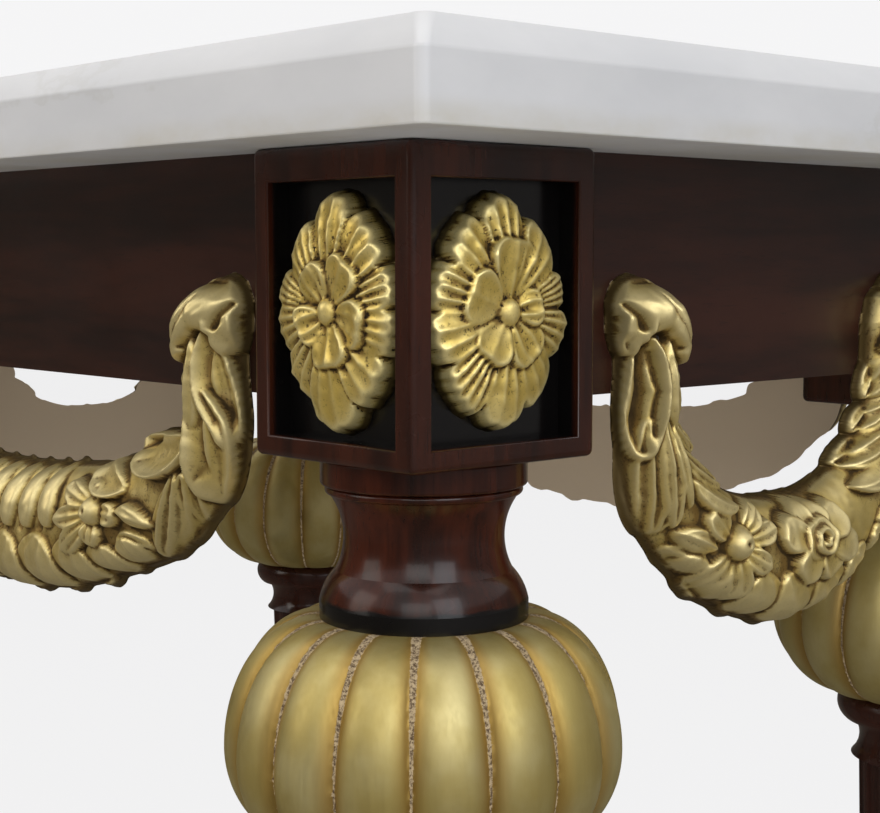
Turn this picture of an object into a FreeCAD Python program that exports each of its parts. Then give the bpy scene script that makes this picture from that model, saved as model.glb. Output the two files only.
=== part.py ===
import FreeCAD, Part
import math
import os

# Side table: marble slab, mahogany frame and turned legs, gilt carving.
# Millimetres. The origin is on the floor under the middle of the top.
# X runs along the front, Y towards the back, Z upwards.

V = FreeCAD.Vector

# Frame
frame_length = 516.0  # over the faces of the corner blocks, along the front
frame_depth = 372.0  # over the faces of the corner blocks, along the sides
table_height = 630.0

# Marble slab
marble_thickness = 30.0
marble_side_overhang = 42.0  # past the corner blocks, at the left and right
marble_front_overhang = 33.0  # past the corner blocks, at the front and back
marble_corner_radius = 6.0
marble_bevel_height = 9.7
marble_bevel_inset = 8.0
marble_bevel_crown = 1.6  # how far the bevel swells beyond a straight chamfer

# Frieze boards, tenoned into the corner blocks
frieze_height = 80.0
frieze_thickness = 22.0
frieze_setback = 15.0  # behind the faces of the corner blocks
tenon_thickness = 9.0
tenon_length = 28.0
tenon_shoulder = 9.0
joint_clearance = 0.2
glue_gap = 1.0  # left past the end of each tenon

# Corner blocks, with a sunk panel in both outer faces
block_width = 78.0
block_drop = 18.0  # how far a block reaches below the frieze
block_arris = 2.5
panel_stile = 8.0
panel_top_rail = 11.0
panel_bottom_rail = 7.0
panel_depth = 9.0
panel_mouth_radius = 1.2

# Neck of the leg
dowel_radius = 13.0  # round tenons that join the turnings
dowel_length = 20.0
neck_height = 52.0
abacus_radius = 33.6
abacus_height = 9.0
abacus_bead = 3.0
abacus_softness = 1.2
neck_waist_radius = 26.2
neck_flare_radius = 28.8
neck_flare_height = 15.5
neck_foot_radius = 34.0
neck_flare_fullness = 0.68  # how far the flare swells half way down
neck_band_height = 5.5

# Gadrooned bulb
bulb_radius = 66.0
bulb_rise = 41.5  # from the widest line up to the neck
bulb_fall = 34.0  # from the widest line down to the collar
bulb_shoulder_radius = 44.0
bulb_seat_radius = 36.0
bulb_lobes = 16
bulb_groove = 3.6
bulb_end_groove = 1.4  # where the grooves run out at the neck and the collar

# Shaft and foot
collar_radius = 33.0
collar_height = 30.0
collar_torus_height = 13.0
collar_torus_swell = 3.0
shaft_top_radius = 26.0
shaft_bottom_radius = 18.0
shaft_flutes = 12
flute_depth = 2.6
flute_land = 0.22  # share of each pitch that is left between two flutes
ankle_height = 14.0
ankle_swell = 4.5
foot_height = 56.0
foot_neck_height = 10.0
foot_swell_height = 30.0  # from the floor up to the widest line
foot_radius = 27.0
foot_toe_radius = 17.0
foot_tenon_radius = 8.0

# Oval flower in each panel
rosette_side_gap = 3.0
rosette_tip_gap = 1.8
rosette_proud = 3.5  # how far the button stands out of the panel
rosette_leaves = 12
rosette_leaf_groove = 2.6
rosette_petals = 6
rosette_petal_groove = 2.4
rosette_petal_share = 0.6  # size of the inner flower against the whole
rosette_button_radius = 4.6
rosette_button_rise = 2.0  # height of the button's round top
pointed_oval_power = 1.7  # 2 is an ellipse and 1 a lozenge

# Carved swags, one on each frieze board
swag_arm_gap = 20.0  # from a corner block to the arm
swag_arm_width = 28.0
swag_arm_depth = 18.0
swag_middle_width = 48.0
swag_middle_depth = 24.0
swag_back_depth = 6.0  # plain sawn edge behind the carving
swag_top = 43.0  # from the slab down to the top of the arms
swag_front_bend = 90.0  # from the slab down to where the front swag starts to curve
swag_side_bend = 82.0
swag_front_drop = 142.0  # from the slab down to the middle of the roll
swag_side_drop = 145.5
swag_leaf_groove = 2.2
swag_side_relief = 4.0  # how far the outer leaves stand above the sawn edge at their sides
daisy_radius = 14.0
daisy_petals = 6
front_daisy_turn = 55.0  # degrees along the curve, from one arm
side_daisy_turn = 58.0
rose_radius = 16.0
rose_petals = 5
front_rose_turn = 122.0
side_rose_turn = 98.0
petal_groove = 2.5
flower_relief = 3.5  # how far a flower stands above the leaves

# Hidden fixings
screw_radius = 2.0
screw_head_radius = 4.0
screw_bite = 11.0  # length of a screw inside a swag
glue_block_leg = 20.0
glue_block_margin = 10.0
pad_radius = 8.0
pad_thickness = 2.5

# Carved forms, each ring as (share of its full size, share of its height)
leaf_rings = ((0.97, 0.0), (1.0, 0.3), (0.8, 0.55), (0.45, 0.6))
petal_rings = ((0.85, 0.4), (1.0, 0.78), (0.55, 0.86), (0.3, 0.78))
daisy_rings = ((0.9, 0.0), (1.0, 0.7), (0.45, 0.8), (0.4, 1.0), (0.2, 1.05))
rose_rings = ((0.9, 0.0), (1.0, 0.6), (0.8, 0.9), (0.55, 0.85), (0.5, 1.0), (0.25, 1.1))
# Creases between the leaves across a swag, as shares of half its width
leaf_creases = (-1, -0.36, 0.36, 1)
# A swag's straight arm from its top down, each as (share of its length, swell, share of the groove)
cap_stations = ((0.0, 0.72, 0.5), (0.12, 0.94, 0.5), (0.3, 1.0, 0.5), (0.56, 1.08, 0.5))
pod_stations = ((0.6, 0.9, 0.4), (0.8, 1.0, 1.0), (0.97, 1.07, 1.0))
# A tier of leaves, each as (share of the tier, swell, share of the groove)
leaf_stations = ((0.05, 0.9, 0.4), (0.5, 1.0, 1.0), (0.95, 1.07, 1.0))
leaf_tiers = (0, 24, 46, 68, 90)  # degrees along the curve
# Levels of the bulb's upper and lower part, each as (share of the way in, share of the height, groove)
bulb_upper = ((0.0, 0.95, 0.7), (0.55, 0.75, 0.9), (0.88, 0.38, 1.0))
bulb_lower = ((0.93, 0.42, 1.0), (0.67, 0.74, 0.9))

# Worked out from the sizes above
half_length = frame_length / 2
half_depth = frame_depth / 2
slab_z = table_height - marble_thickness
frieze_z = slab_z - frieze_height
block_z = frieze_z - block_drop
neck_z = block_z - neck_height
widest_z = neck_z - bulb_rise
bulb_z = widest_z - bulb_fall
collar_z = bulb_z - collar_height
ankle_z = foot_height + ankle_height
leg_offset = block_width / 2
leg_tenon_length = block_drop + tenon_shoulder - 2 * glue_gap
frieze_inner = frieze_setback + frieze_thickness
panel_width = block_width - 2 * panel_stile
panel_height = frieze_height + block_drop - panel_top_rail - panel_bottom_rail
panel_middle_z = block_z + panel_bottom_rail + panel_height / 2
rosette_thickness = panel_depth + rosette_proud
arm_offset = block_width + swag_arm_gap + swag_arm_width / 2

# Each corner has its signs in X and Y, its turn from the front right one and its two outer faces.
corners = {
    "front_right": (1, -1, 0, ("front", "right")),
    "back_right": (1, 1, 90, ("right", "back")),
    "back_left": (-1, 1, 180, ("back", "left")),
    "front_left": (-1, -1, 270, ("left", "front")),
}
side_turns = {"front": 0, "right": 90, "back": 180, "left": 270}


def save(name, shapes):
    shape = shapes[0] if len(shapes) == 1 else Part.makeCompound(shapes)
    shape.exportStep(os.path.join("parts", name + ".step"))


def turn(shape, degrees):
    moved = shape.copy()
    moved.rotate(V(0, 0, 0), V(0, 0, 1), degrees)
    return moved


def shift(shape, x, y, z):
    moved = shape.copy()
    moved.translate(V(x, y, z))
    return moved


def face_front(shape, x, y, z):
    """Stands a relief that was carved upwards on z = 0 upright, facing -Y, with its back at y."""
    moved = shape.copy()
    moved.rotate(V(0, 0, 0), V(1, 0, 0), 90)
    return shift(moved, x, y, z)


def at_corner(shape, corner):
    """Places a piece that was made about the axis of the front right leg."""
    sign_x, sign_y, degrees, _ = corners[corner]
    x = sign_x * (half_length - leg_offset)
    y = sign_y * (half_depth - leg_offset)
    return shift(turn(shape, degrees), x, y, 0)


def at_side(shape, side):
    """Places a piece that was made along X, with the plane of the block faces at y = 0."""
    reach = half_depth if side in ("front", "back") else half_length
    return turn(shift(shape, 0, -reach, 0), side_turns[side])


def side_length(side):
    return frame_length if side in ("front", "back") else frame_depth


def box(x0, x1, y0, y1, z0, z1):
    return Part.makeBox(x1 - x0, y1 - y0, z1 - z0, V(x0, y0, z0))


def bore(radius, z0, z1):
    return Part.makeCylinder(radius, z1 - z0, V(0, 0, z0))


def turned(start_z, *steps):
    """A lathe turning about Z. A step is the next (radius, z), or a point on an arc and then its end."""
    here = V(0, 0, start_z)
    edges = []
    for step in steps:
        points = [V(radius, 0, z) for radius, z in step]
        if len(points) == 1:
            edges.append(Part.makeLine(here, points[0]))
        else:
            edges.append(Part.Arc(here, points[0], points[1]).toShape())
        here = points[-1]
    edges.append(Part.makeLine(here, V(0, 0, start_z)))
    return Part.Face(Part.Wire(edges)).revolve(V(0, 0, 0), V(0, 0, 1), 360)


def loft(wires, ruled=True):
    return Part.makeLoft(wires, True, ruled)


def rounded_rectangle(half_x, half_y, radius, z):
    quarter = math.pi / 2
    edges = []
    for index, (sign_x, sign_y) in enumerate(((1, 1), (-1, 1), (-1, -1), (1, -1))):
        centre = V(sign_x * (half_x - radius), sign_y * (half_y - radius), z)

        def point(share):
            angle = (index + share) * quarter
            return centre + V(radius * math.cos(angle), radius * math.sin(angle), 0)

        if edges:
            edges.append(Part.makeLine(edges[-1].lastVertex().Point, point(0)))
        edges.append(Part.Arc(point(0), point(0.5), point(1)).toShape())
    edges.append(Part.makeLine(edges[-1].lastVertex().Point, edges[0].firstVertex().Point))
    return Part.Wire(edges)


def lobed_wire(outline, lobes, groove, z, phase=0.0):
    """A ring of outward arcs: their crests lie on outline(angle), and the creases between them inside it."""
    pitch = 2 * math.pi / lobes

    def point(angle, inset):
        x, y = outline(angle)
        keep = 1 - inset / math.hypot(x, y)
        return V(x * keep, y * keep, z)

    edges = []
    for lobe in range(lobes):
        crest = phase + lobe * pitch
        start = point(crest - pitch / 2, groove)
        end = point(crest + pitch / 2, groove)
        edges.append(Part.Arc(start, point(crest, 0), end).toShape())
    return Part.Wire(edges)


def round_outline(radius):
    return lambda angle: (radius * math.cos(angle), radius * math.sin(angle))


def pointed_oval(half_width, half_height):
    """An upright oval drawn out to soft points at its top and bottom."""

    def outline(angle):
        across = abs(math.cos(angle)) / half_width
        along = abs(math.sin(angle)) / half_height
        power = pointed_oval_power
        reach = (across**power + along**power) ** (-1 / power)
        return reach * math.cos(angle), reach * math.sin(angle)

    return outline


def make_flower(outline, lobes, groove, rings, height):
    """A relief of lobes on z = 0, drawn in towards its middle through the given rings."""
    wires = []
    for share, level in rings:

        def smaller(angle, share=share):
            x, y = outline(angle)
            return share * x, share * y

        wires.append(lobed_wire(smaller, lobes, groove * share, level * height, math.pi / 2))
    return loft(wires)


def make_marble_top():
    half_x = half_length + marble_side_overhang
    half_y = half_depth + marble_front_overhang
    crease_z = table_height - marble_bevel_height
    middle_z = table_height - marble_bevel_height / 2
    middle_inset = marble_bevel_inset / 2 - marble_bevel_crown
    levels = (
        (0, slab_z),
        (0, crease_z),
        (middle_inset, middle_z),
        (marble_bevel_inset, table_height),
    )
    return loft(
        [rounded_rectangle(half_x - inset, half_y - inset, marble_corner_radius, z) for inset, z in levels]
    )


def make_tenon(end_x, sign, clearance, extra):
    """The tenon at one end of a board that lies along X; y = 0 is the plane of the block faces."""
    middle = frieze_setback + frieze_thickness / 2
    half = tenon_thickness / 2 + clearance
    low = frieze_z + tenon_shoulder - clearance
    high = slab_z - tenon_shoulder + clearance
    x0, x1 = sorted((end_x, end_x + sign * (tenon_length + extra)))
    return box(x0, x1, middle - half, middle + half, low, high)


def make_screw(clearance):
    """Countersunk screw, its head flush with y = 0 and its point towards -Y."""
    length = frieze_thickness + screw_bite + clearance
    head = screw_head_radius + clearance
    shank = screw_radius + clearance
    screw = turned(0, [(head, 0)], [(shank, shank - head)], [(shank, -length)], [(0, -length)])
    screw.rotate(V(0, 0, 0), V(1, 0, 0), -90)
    return screw


def screws_along(length, clearance):
    """The two screws that hold a swag by its arms, from behind the board."""
    z = slab_z - (swag_top + swag_side_bend) / 2
    half_span = length / 2 - arm_offset
    return [shift(make_screw(clearance), sign * half_span, frieze_inner, z) for sign in (-1, 1)]


def make_frieze(length):
    """One board along X, its shoulders against the corner blocks."""
    end = length / 2 - block_width
    board = box(-end, end, frieze_setback, frieze_inner, frieze_z, slab_z)
    tenons = [make_tenon(sign * end, sign, 0, 0) for sign in (-1, 1)]
    return board.fuse(tenons).cut(screws_along(length, joint_clearance))


def make_block():
    """The front right corner block about the axis of its leg, with its panels towards -Y and +X."""
    half = leg_offset
    block = box(-half, half, -half, half, block_z, slab_z)
    soft_edges = [edge for edge in block.Edges if edge.BoundBox.ZMin < slab_z - block_arris]
    block = block.makeFillet(block_arris, soft_edges)
    side = panel_width / 2
    low = block_z + panel_bottom_rail
    high = low + panel_height
    panel = box(-side, side, -half, panel_depth - half, low, high)
    block = block.cut([panel, turn(panel, 90)])

    def on_mouth(edge):
        middle = edge.CenterOfMass
        across, out = sorted((abs(middle.x), abs(middle.y)))
        within = across < half - block_arris and block_z + block_arris < middle.z < slab_z
        return within and out > half - panel_mouth_radius

    block = block.makeFillet(panel_mouth_radius, [edge for edge in block.Edges if on_mouth(edge)])
    mortise = shift(make_tenon(0, 1, joint_clearance, glue_gap), -half, -half, 0)
    side_mortise = shift(turn(make_tenon(0, -1, joint_clearance, glue_gap), 90), half, half, 0)
    socket = bore(dowel_radius + joint_clearance, block_z, block_z + leg_tenon_length + glue_gap)
    pad_recess = bore(pad_radius + joint_clearance, slab_z - pad_thickness, slab_z)
    return block.cut([mortise, side_mortise, socket, pad_recess])


def make_neck():
    """Abacus, bead, hollow neck and flared foot, with a round tenon at each end."""
    tenon_z = block_z + leg_tenon_length
    abacus_z = block_z - abacus_height
    hollow_z = abacus_z - abacus_bead
    hollow_radius = abacus_radius - abacus_bead
    flare_z = neck_z + neck_flare_height
    band_z = neck_z + neck_band_height
    flare_swell = (neck_foot_radius - neck_flare_radius) * neck_flare_fullness
    neck = turned(
        tenon_z,
        [(dowel_radius, tenon_z)],
        [(dowel_radius, block_z)],
        [(abacus_radius, block_z)],
        [(abacus_radius, abacus_z)],
        [(hollow_radius, abacus_z)],
        [(hollow_radius + abacus_bead / 2, abacus_z - abacus_bead / 2), (hollow_radius, hollow_z)],
        [(neck_waist_radius, (hollow_z + flare_z) / 2), (neck_flare_radius, flare_z)],
        [(neck_flare_radius + flare_swell, (flare_z + band_z) / 2), (neck_foot_radius, band_z)],
        [(neck_foot_radius, neck_z)],
        [(dowel_radius, neck_z)],
        [(dowel_radius, neck_z - dowel_length)],
        [(0, neck_z - dowel_length)],
    )
    rim = [edge for edge in neck.Edges if edge.Closed and edge.BoundBox.ZMin > hollow_z]
    rim = [edge for edge in rim if edge.Curve.Radius > hollow_radius]
    return neck.makeFillet(abacus_softness, rim)


def make_bulb():
    """The gadrooned bulb: a ring of lobes lofted through its seat, shoulder, widest line and underside."""
    upper_step = bulb_radius - bulb_shoulder_radius
    lower_step = bulb_radius - collar_radius
    levels = [(bulb_seat_radius, neck_z, bulb_end_groove)]
    for share, height, groove in bulb_upper:
        radius = bulb_shoulder_radius + share * upper_step
        levels.append((radius, widest_z + height * bulb_rise, groove * bulb_groove))
    levels.append((bulb_radius, widest_z, bulb_groove))
    for share, height, groove in bulb_lower:
        radius = collar_radius + share * lower_step
        levels.append((radius, widest_z - height * bulb_fall, groove * bulb_groove))
    levels.append((collar_radius, bulb_z, bulb_end_groove))
    half_pitch = math.pi / bulb_lobes
    wires = []
    for radius, z, groove in levels:
        wires.append(lobed_wire(round_outline(radius), bulb_lobes, groove, z, half_pitch))
    socket = dowel_radius + joint_clearance
    deep = dowel_length + glue_gap
    return loft(wires, False).cut([bore(socket, neck_z - deep, neck_z), bore(socket, bulb_z, bulb_z + deep)])


def fluted_wire(radius, z):
    """A ring of hollow flutes with narrow lands between them."""
    pitch = 2 * math.pi / shaft_flutes
    land = pitch * flute_land

    def point(reach, angle):
        return V(reach * math.cos(angle), reach * math.sin(angle), z)

    edges = []
    for flute in range(shaft_flutes):
        middle = flute * pitch
        start = middle - land / 2
        end = middle + land / 2
        hollow = point(radius - flute_depth, middle + pitch / 2)
        edges.append(Part.Arc(point(radius, start), point(radius, middle), point(radius, end)).toShape())
        edges.append(Part.Arc(point(radius, end), hollow, point(radius, start + pitch)).toShape())
    return Part.Wire(edges)


def make_shaft():
    """Moulded collar, tapered fluted shaft and ankle ring; a tenon goes up and a socket takes the foot."""
    torus_z = bulb_z - collar_torus_height
    cove_radius = (collar_radius + shaft_top_radius) / 2
    cove_z = (torus_z + collar_z) / 2
    collar = turned(
        bulb_z + dowel_length,
        [(dowel_radius, bulb_z + dowel_length)],
        [(dowel_radius, bulb_z)],
        [(collar_radius, bulb_z)],
        [(collar_radius + collar_torus_swell, (bulb_z + torus_z) / 2), (collar_radius, torus_z)],
        [(cove_radius, torus_z)],
        [(shaft_top_radius, cove_z), (cove_radius, collar_z)],
        [(0, collar_z)],
    )
    flutes = loft([fluted_wire(shaft_top_radius, collar_z), fluted_wire(shaft_bottom_radius, ankle_z)])
    ankle_radius = shaft_bottom_radius + ankle_swell
    ankle = turned(
        ankle_z,
        [(shaft_bottom_radius, ankle_z)],
        [(ankle_radius, (ankle_z + foot_height) / 2), (shaft_bottom_radius, foot_height)],
        [(0, foot_height)],
    )
    socket = bore(foot_tenon_radius + joint_clearance, foot_height, ankle_z + glue_gap)
    return collar.fuse([flutes, ankle]).cut(socket)


def make_foot():
    """A turned foot, swelling under a short neck and drawn in to a flat toe, with a tenon into the shaft."""
    neck_bottom = foot_height - foot_neck_height
    lower_radius = (foot_radius + foot_toe_radius) / 2
    return turned(
        ankle_z,
        [(foot_tenon_radius, ankle_z)],
        [(foot_tenon_radius, foot_height)],
        [(shaft_bottom_radius, foot_height)],
        [(foot_toe_radius, foot_height - foot_neck_height / 2), (shaft_bottom_radius, neck_bottom)],
        [(foot_radius, foot_swell_height), (lower_radius, foot_swell_height / 3)],
        [(foot_toe_radius, 0)],
        [(0, 0)],
    )


def make_rosette():
    """Pointed oval of leaves with an inner flower and a button; its back is on z = 0."""
    half_width = panel_width / 2 - rosette_side_gap
    half_height = panel_height / 2 - rosette_tip_gap
    thick = rosette_thickness
    leaves = make_flower(
        pointed_oval(half_width, half_height), rosette_leaves, rosette_leaf_groove, leaf_rings, thick
    )
    inner = pointed_oval(half_width * rosette_petal_share, half_height * rosette_petal_share)
    petals = make_flower(inner, rosette_petals, rosette_petal_groove, petal_rings, thick)
    button_side = thick - rosette_button_rise
    button_round = rosette_button_radius * math.sqrt(0.5)
    button_middle = button_side + rosette_button_rise * math.sqrt(0.5)
    button = turned(
        thick,
        [(button_round, button_middle), (rosette_button_radius, button_side)],
        [(rosette_button_radius, thick / 2)],
        [(0, thick / 2)],
    )
    return leaves.fuse([petals, button])


def swag_section(x, below, tangent, width, depth, groove):
    """Flat back and sawn sides, with three rounded leaves side by side across the front."""
    centre = V(x, frieze_setback, slab_z - below)
    outward = V(0, -1, 0)
    across = outward.cross(tangent)
    relief = depth - swag_back_depth

    def point(share, height):
        return centre + across * (share * width / 2) + outward * height

    def front(share, sink):
        rounding = 1 - (swag_side_relief / relief) ** 2
        return point(share, swag_back_depth + relief * math.sqrt(1 - rounding * share**2) - sink)

    creases = [front(share, groove) for share in leaf_creases]
    edges = [Part.makeLine(point(1, 0), point(-1, 0)), Part.makeLine(point(-1, 0), creases[0])]
    for index, (left, right) in enumerate(zip(leaf_creases, leaf_creases[1:])):
        crest = front((left + right) / 2, 0)
        edges.append(Part.Arc(creases[index], crest, creases[index + 1]).toShape())
    edges.append(Part.makeLine(creases[-1], point(1, 0)))
    return Part.Wire(edges)


def make_swag(length, bend, drop, hand, daisy_turn, rose_turn):
    """A draped garland: tiers of leaves on a U-shaped roll, with a daisy and a rose at the bottom.

    The arms are straight down to bend, and half an ellipse joins them. Seen from outside, a hand of 1 has
    the daisy on the right.
    """
    half_span = length / 2 - arm_offset

    def on_curve(degrees):
        angle = math.radians(degrees)
        return half_span * math.cos(angle), bend + (drop - bend) * math.sin(angle)

    stations = []
    for share, swell, groove in cap_stations + pod_stations:
        below = swag_top + share * (bend - swag_top)
        stations.append((half_span, below, V(0, 0, -1), 0.0, swell, groove))
    for start, end in zip(leaf_tiers, leaf_tiers[1:]):
        for share, swell, groove in leaf_stations:
            degrees = start + share * (end - start)
            angle = math.radians(degrees)
            tangent = V(-half_span * math.sin(angle), 0, (bend - drop) * math.cos(angle)).normalize()
            x, below = on_curve(degrees)
            stations.append((x, below, tangent, math.sin(angle) ** 2, swell, groove))
    mirrored = []
    for x, below, tangent, spread, swell, groove in reversed(stations):
        mirrored.append((-x, below, V(tangent.x, 0, -tangent.z), spread, swell, groove))

    wires = []
    for x, below, tangent, spread, swell, groove in stations + mirrored:
        width = swag_arm_width + spread * (swag_middle_width - swag_arm_width)
        depth = swag_arm_depth + spread * (swag_middle_depth - swag_arm_depth)
        wires.append(swag_section(x, below, tangent, swell * width, swell * depth, groove * swag_leaf_groove))

    flowers = []
    for radius, petals, rings, degrees in (
        (daisy_radius, daisy_petals, daisy_rings, daisy_turn),
        (rose_radius, rose_petals, rose_rings, rose_turn),
    ):
        height = swag_middle_depth + flower_relief - swag_back_depth
        flower = make_flower(round_outline(radius), petals, petal_groove, rings, height)
        x, below = on_curve(degrees)
        flowers.append(face_front(flower, hand * x, frieze_setback - swag_back_depth, slab_z - below))
    return loft(wires).fuse(flowers).cut(screws_along(length, joint_clearance))


def make_glue_block(swap):
    """A triangular stick between a board and the front right block; swap gives the other board."""
    inner = frieze_inner - leg_offset
    outline = [
        (-leg_offset, inner),
        (-leg_offset - glue_block_leg, inner),
        (-leg_offset, inner + glue_block_leg),
    ]
    if swap:
        outline = [(-y, -x) for x, y in outline]
    low = frieze_z + glue_block_margin
    corners_low = [V(x, y, low) for x, y in outline]
    face = Part.Face(Part.makePolygon(corners_low + corners_low[:1]))
    return face.extrude(V(0, 0, frieze_height - 2 * glue_block_margin))


os.makedirs("parts", exist_ok=True)

save("marble_top", [make_marble_top()])

swags = {
    "front": make_swag(
        frame_length, swag_front_bend, swag_front_drop, 1, front_daisy_turn, front_rose_turn
    ),
    "right": make_swag(frame_depth, swag_side_bend, swag_side_drop, -1, side_daisy_turn, side_rose_turn),
}
swags["back"] = swags["front"]
swags["left"] = swags["right"]
screws = []
for side in side_turns:
    length = side_length(side)
    save("frieze_" + side, [at_side(make_frieze(length), side)])
    save("swag_" + side, [at_side(swags[side], side)])
    screws += [at_side(screw, side) for screw in screws_along(length, 0)]
save("swag_screws", screws)

leg_pieces = {
    "leg_block": make_block(),
    "leg_neck": make_neck(),
    "leg_bulb": make_bulb(),
    "leg_shaft": make_shaft(),
    "leg_foot": make_foot(),
}
rosette = face_front(make_rosette(), 0, panel_depth - leg_offset, panel_middle_z)
pad = bore(pad_radius, slab_z - pad_thickness, slab_z)
for corner, (_, _, _, faces) in corners.items():
    for piece, shape in leg_pieces.items():
        save(piece + "_" + corner, [at_corner(shape, corner)])
    for index, face in enumerate(faces):
        save("rosette_" + corner + "_" + face, [at_corner(turn(rosette, 90 * index), corner)])
        save("glue_block_" + corner + "_" + face, [at_corner(make_glue_block(index == 1), corner)])
save("marble_pads", [at_corner(pad, corner) for corner in corners])
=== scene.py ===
# %% [markdown]
# # A side table with carved and gilded ornament
# The table has a white marble slab, a dark polished frame, gilt carvings and turned legs.
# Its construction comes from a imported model, which stays where it is. This lesson gives each surface
# its finish and carves the pieces whose beauty is in their relief.

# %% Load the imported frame
import math
import random

import bmesh
import bpy
import numpy as np
from mathutils import Matrix, Vector, noise


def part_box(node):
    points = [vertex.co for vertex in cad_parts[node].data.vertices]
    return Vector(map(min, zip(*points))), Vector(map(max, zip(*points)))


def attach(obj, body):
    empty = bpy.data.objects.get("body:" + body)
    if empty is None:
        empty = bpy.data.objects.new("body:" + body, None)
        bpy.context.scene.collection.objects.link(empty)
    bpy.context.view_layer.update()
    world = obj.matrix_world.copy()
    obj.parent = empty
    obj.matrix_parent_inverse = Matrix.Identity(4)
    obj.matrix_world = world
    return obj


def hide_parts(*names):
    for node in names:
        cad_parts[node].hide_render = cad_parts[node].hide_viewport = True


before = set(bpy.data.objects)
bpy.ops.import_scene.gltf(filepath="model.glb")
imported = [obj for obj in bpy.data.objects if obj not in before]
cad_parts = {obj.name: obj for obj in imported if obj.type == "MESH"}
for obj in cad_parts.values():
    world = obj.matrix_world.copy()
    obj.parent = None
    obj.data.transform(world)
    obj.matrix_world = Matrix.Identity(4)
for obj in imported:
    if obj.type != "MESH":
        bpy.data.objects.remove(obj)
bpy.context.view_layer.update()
MM = 0.001

# %% [markdown]
# ## Camera
# The photograph looks at one corner of the table from just below the height of the slab.
# A long lens keeps the verticals nearly straight. A constraint could aim the camera at the corner, but
# its yaw and pitch were measured, so its three axes are worked out from them.

# %% Place the camera
EYE = Vector((0.6305, -0.5101, 0.5671))
YAW = math.radians(48.03)
PITCH = math.radians(5.14)
LENS = 70.0

camera_data = bpy.data.cameras.new("corner_view")
camera_data.sensor_fit = "HORIZONTAL"
camera_data.sensor_width = 36.0
camera_data.lens = LENS
camera_data.clip_start = 0.01
camera = bpy.data.objects.new("corner_view", camera_data)
bpy.context.scene.collection.objects.link(camera)
back = Vector((math.sin(YAW) * math.cos(PITCH), -math.cos(YAW) * math.cos(PITCH), math.sin(PITCH)))
right = Vector((math.cos(YAW), math.sin(YAW), 0.0))
turn = Matrix((right, back.cross(right), back)).transposed().to_4x4()
camera.matrix_world = Matrix.Translation(EYE) @ turn
bpy.context.scene.camera = camera
bpy.context.scene.view_settings.view_transform = "Standard"
print("camera at", [round(value, 3) for value in EYE])

# %% [markdown]
# ## Node helpers
# A material is a small graph of nodes. It could be wired by hand in the editor, but in a script these
# helpers keep it readable: each adds one node and fills its inputs in a single call.

# %% Helpers for shader nodes
# The Mix node has sockets for several kinds of value; these are its share and those for colours.
MIX_SHARE, MIX_FIRST, MIX_SECOND, MIX_RESULT = 0, 6, 7, 2


def fill(tree, node, inputs):
    """Fill a node's inputs by name or by number: a socket is linked, a plain value is set."""
    for key, value in inputs.items():
        if isinstance(value, bpy.types.NodeSocket):
            tree.links.new(value, node.inputs[key])
        else:
            node.inputs[key].default_value = value


def add(tree, kind, inputs=None, **settings):
    """Add a node, apply its settings and fill its inputs."""
    made = tree.nodes.new(kind)
    for name, value in settings.items():
        setattr(made, name, value)
    fill(tree, made, inputs or {})
    return made


def calc(tree, operation, first, second=0.0):
    """One step of arithmetic."""
    return add(tree, "ShaderNodeMath", {0: first, 1: second}, operation=operation).outputs[0]


def swing(tree, value, amount):
    """Turn a noise into a swing of that amount to both sides of zero."""
    return calc(tree, "MULTIPLY", calc(tree, "SUBTRACT", value, 0.5), amount)


def blend(tree, share, first, second):
    """Mix two colours."""
    inputs = {MIX_SHARE: share, MIX_FIRST: first, MIX_SECOND: second}
    return add(tree, "ShaderNodeMix", inputs, data_type="RGBA").outputs[MIX_RESULT]


def ease(tree, value, low, high, out_low=0.0, out_high=1.0):
    """Carry a value smoothly from one range to another, clamped at both ends."""
    inputs = {"Value": value, "From Min": low, "From Max": high, "To Min": out_low, "To Max": out_high}
    return add(tree, "ShaderNodeMapRange", inputs, interpolation_type="SMOOTHSTEP").outputs[0]


def cloud(tree, vector, scale, detail=3.0, roughness=0.5):
    """Soft noise between 0 and 1."""
    inputs = {"Vector": vector, "Scale": scale, "Detail": detail, "Roughness": roughness}
    return add(tree, "ShaderNodeTexNoise", inputs).outputs[0]


def attribute(tree, name):
    """A value that the mesh carries on its points."""
    return add(tree, "ShaderNodeAttribute", attribute_name=name).outputs["Fac"]


def object_place(tree):
    """The place on the table in metres: every piece has its own in its mesh."""
    return add(tree, "ShaderNodeTexCoord").outputs["Object"]


def axis_places(tree):
    """The place on the table along X, Y and Z."""
    return add(tree, "ShaderNodeSeparateXYZ", {0: object_place(tree)}).outputs


def stretched(tree, scale):
    """Object coordinates, scaled so that a pattern runs long in one direction."""
    return add(tree, "ShaderNodeMapping", {"Vector": object_place(tree), "Scale": scale}).outputs[0]


def new_group(name, inputs, outputs):
    """A shader group with named sockets; each socket is given as (name, kind)."""
    tree = bpy.data.node_groups.new(name, "ShaderNodeTree")
    for label, kind in inputs:
        tree.interface.new_socket(name=label, in_out="INPUT", socket_type="NodeSocket" + kind)
    for label, kind in outputs:
        tree.interface.new_socket(name=label, in_out="OUTPUT", socket_type="NodeSocket" + kind)
    return tree, tree.nodes.new("NodeGroupInput").outputs, tree.nodes.new("NodeGroupOutput").inputs


def use_group(tree, group, inputs):
    """Place a shader group in a material."""
    return add(tree, "ShaderNodeGroup", inputs, node_tree=group).outputs


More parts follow.
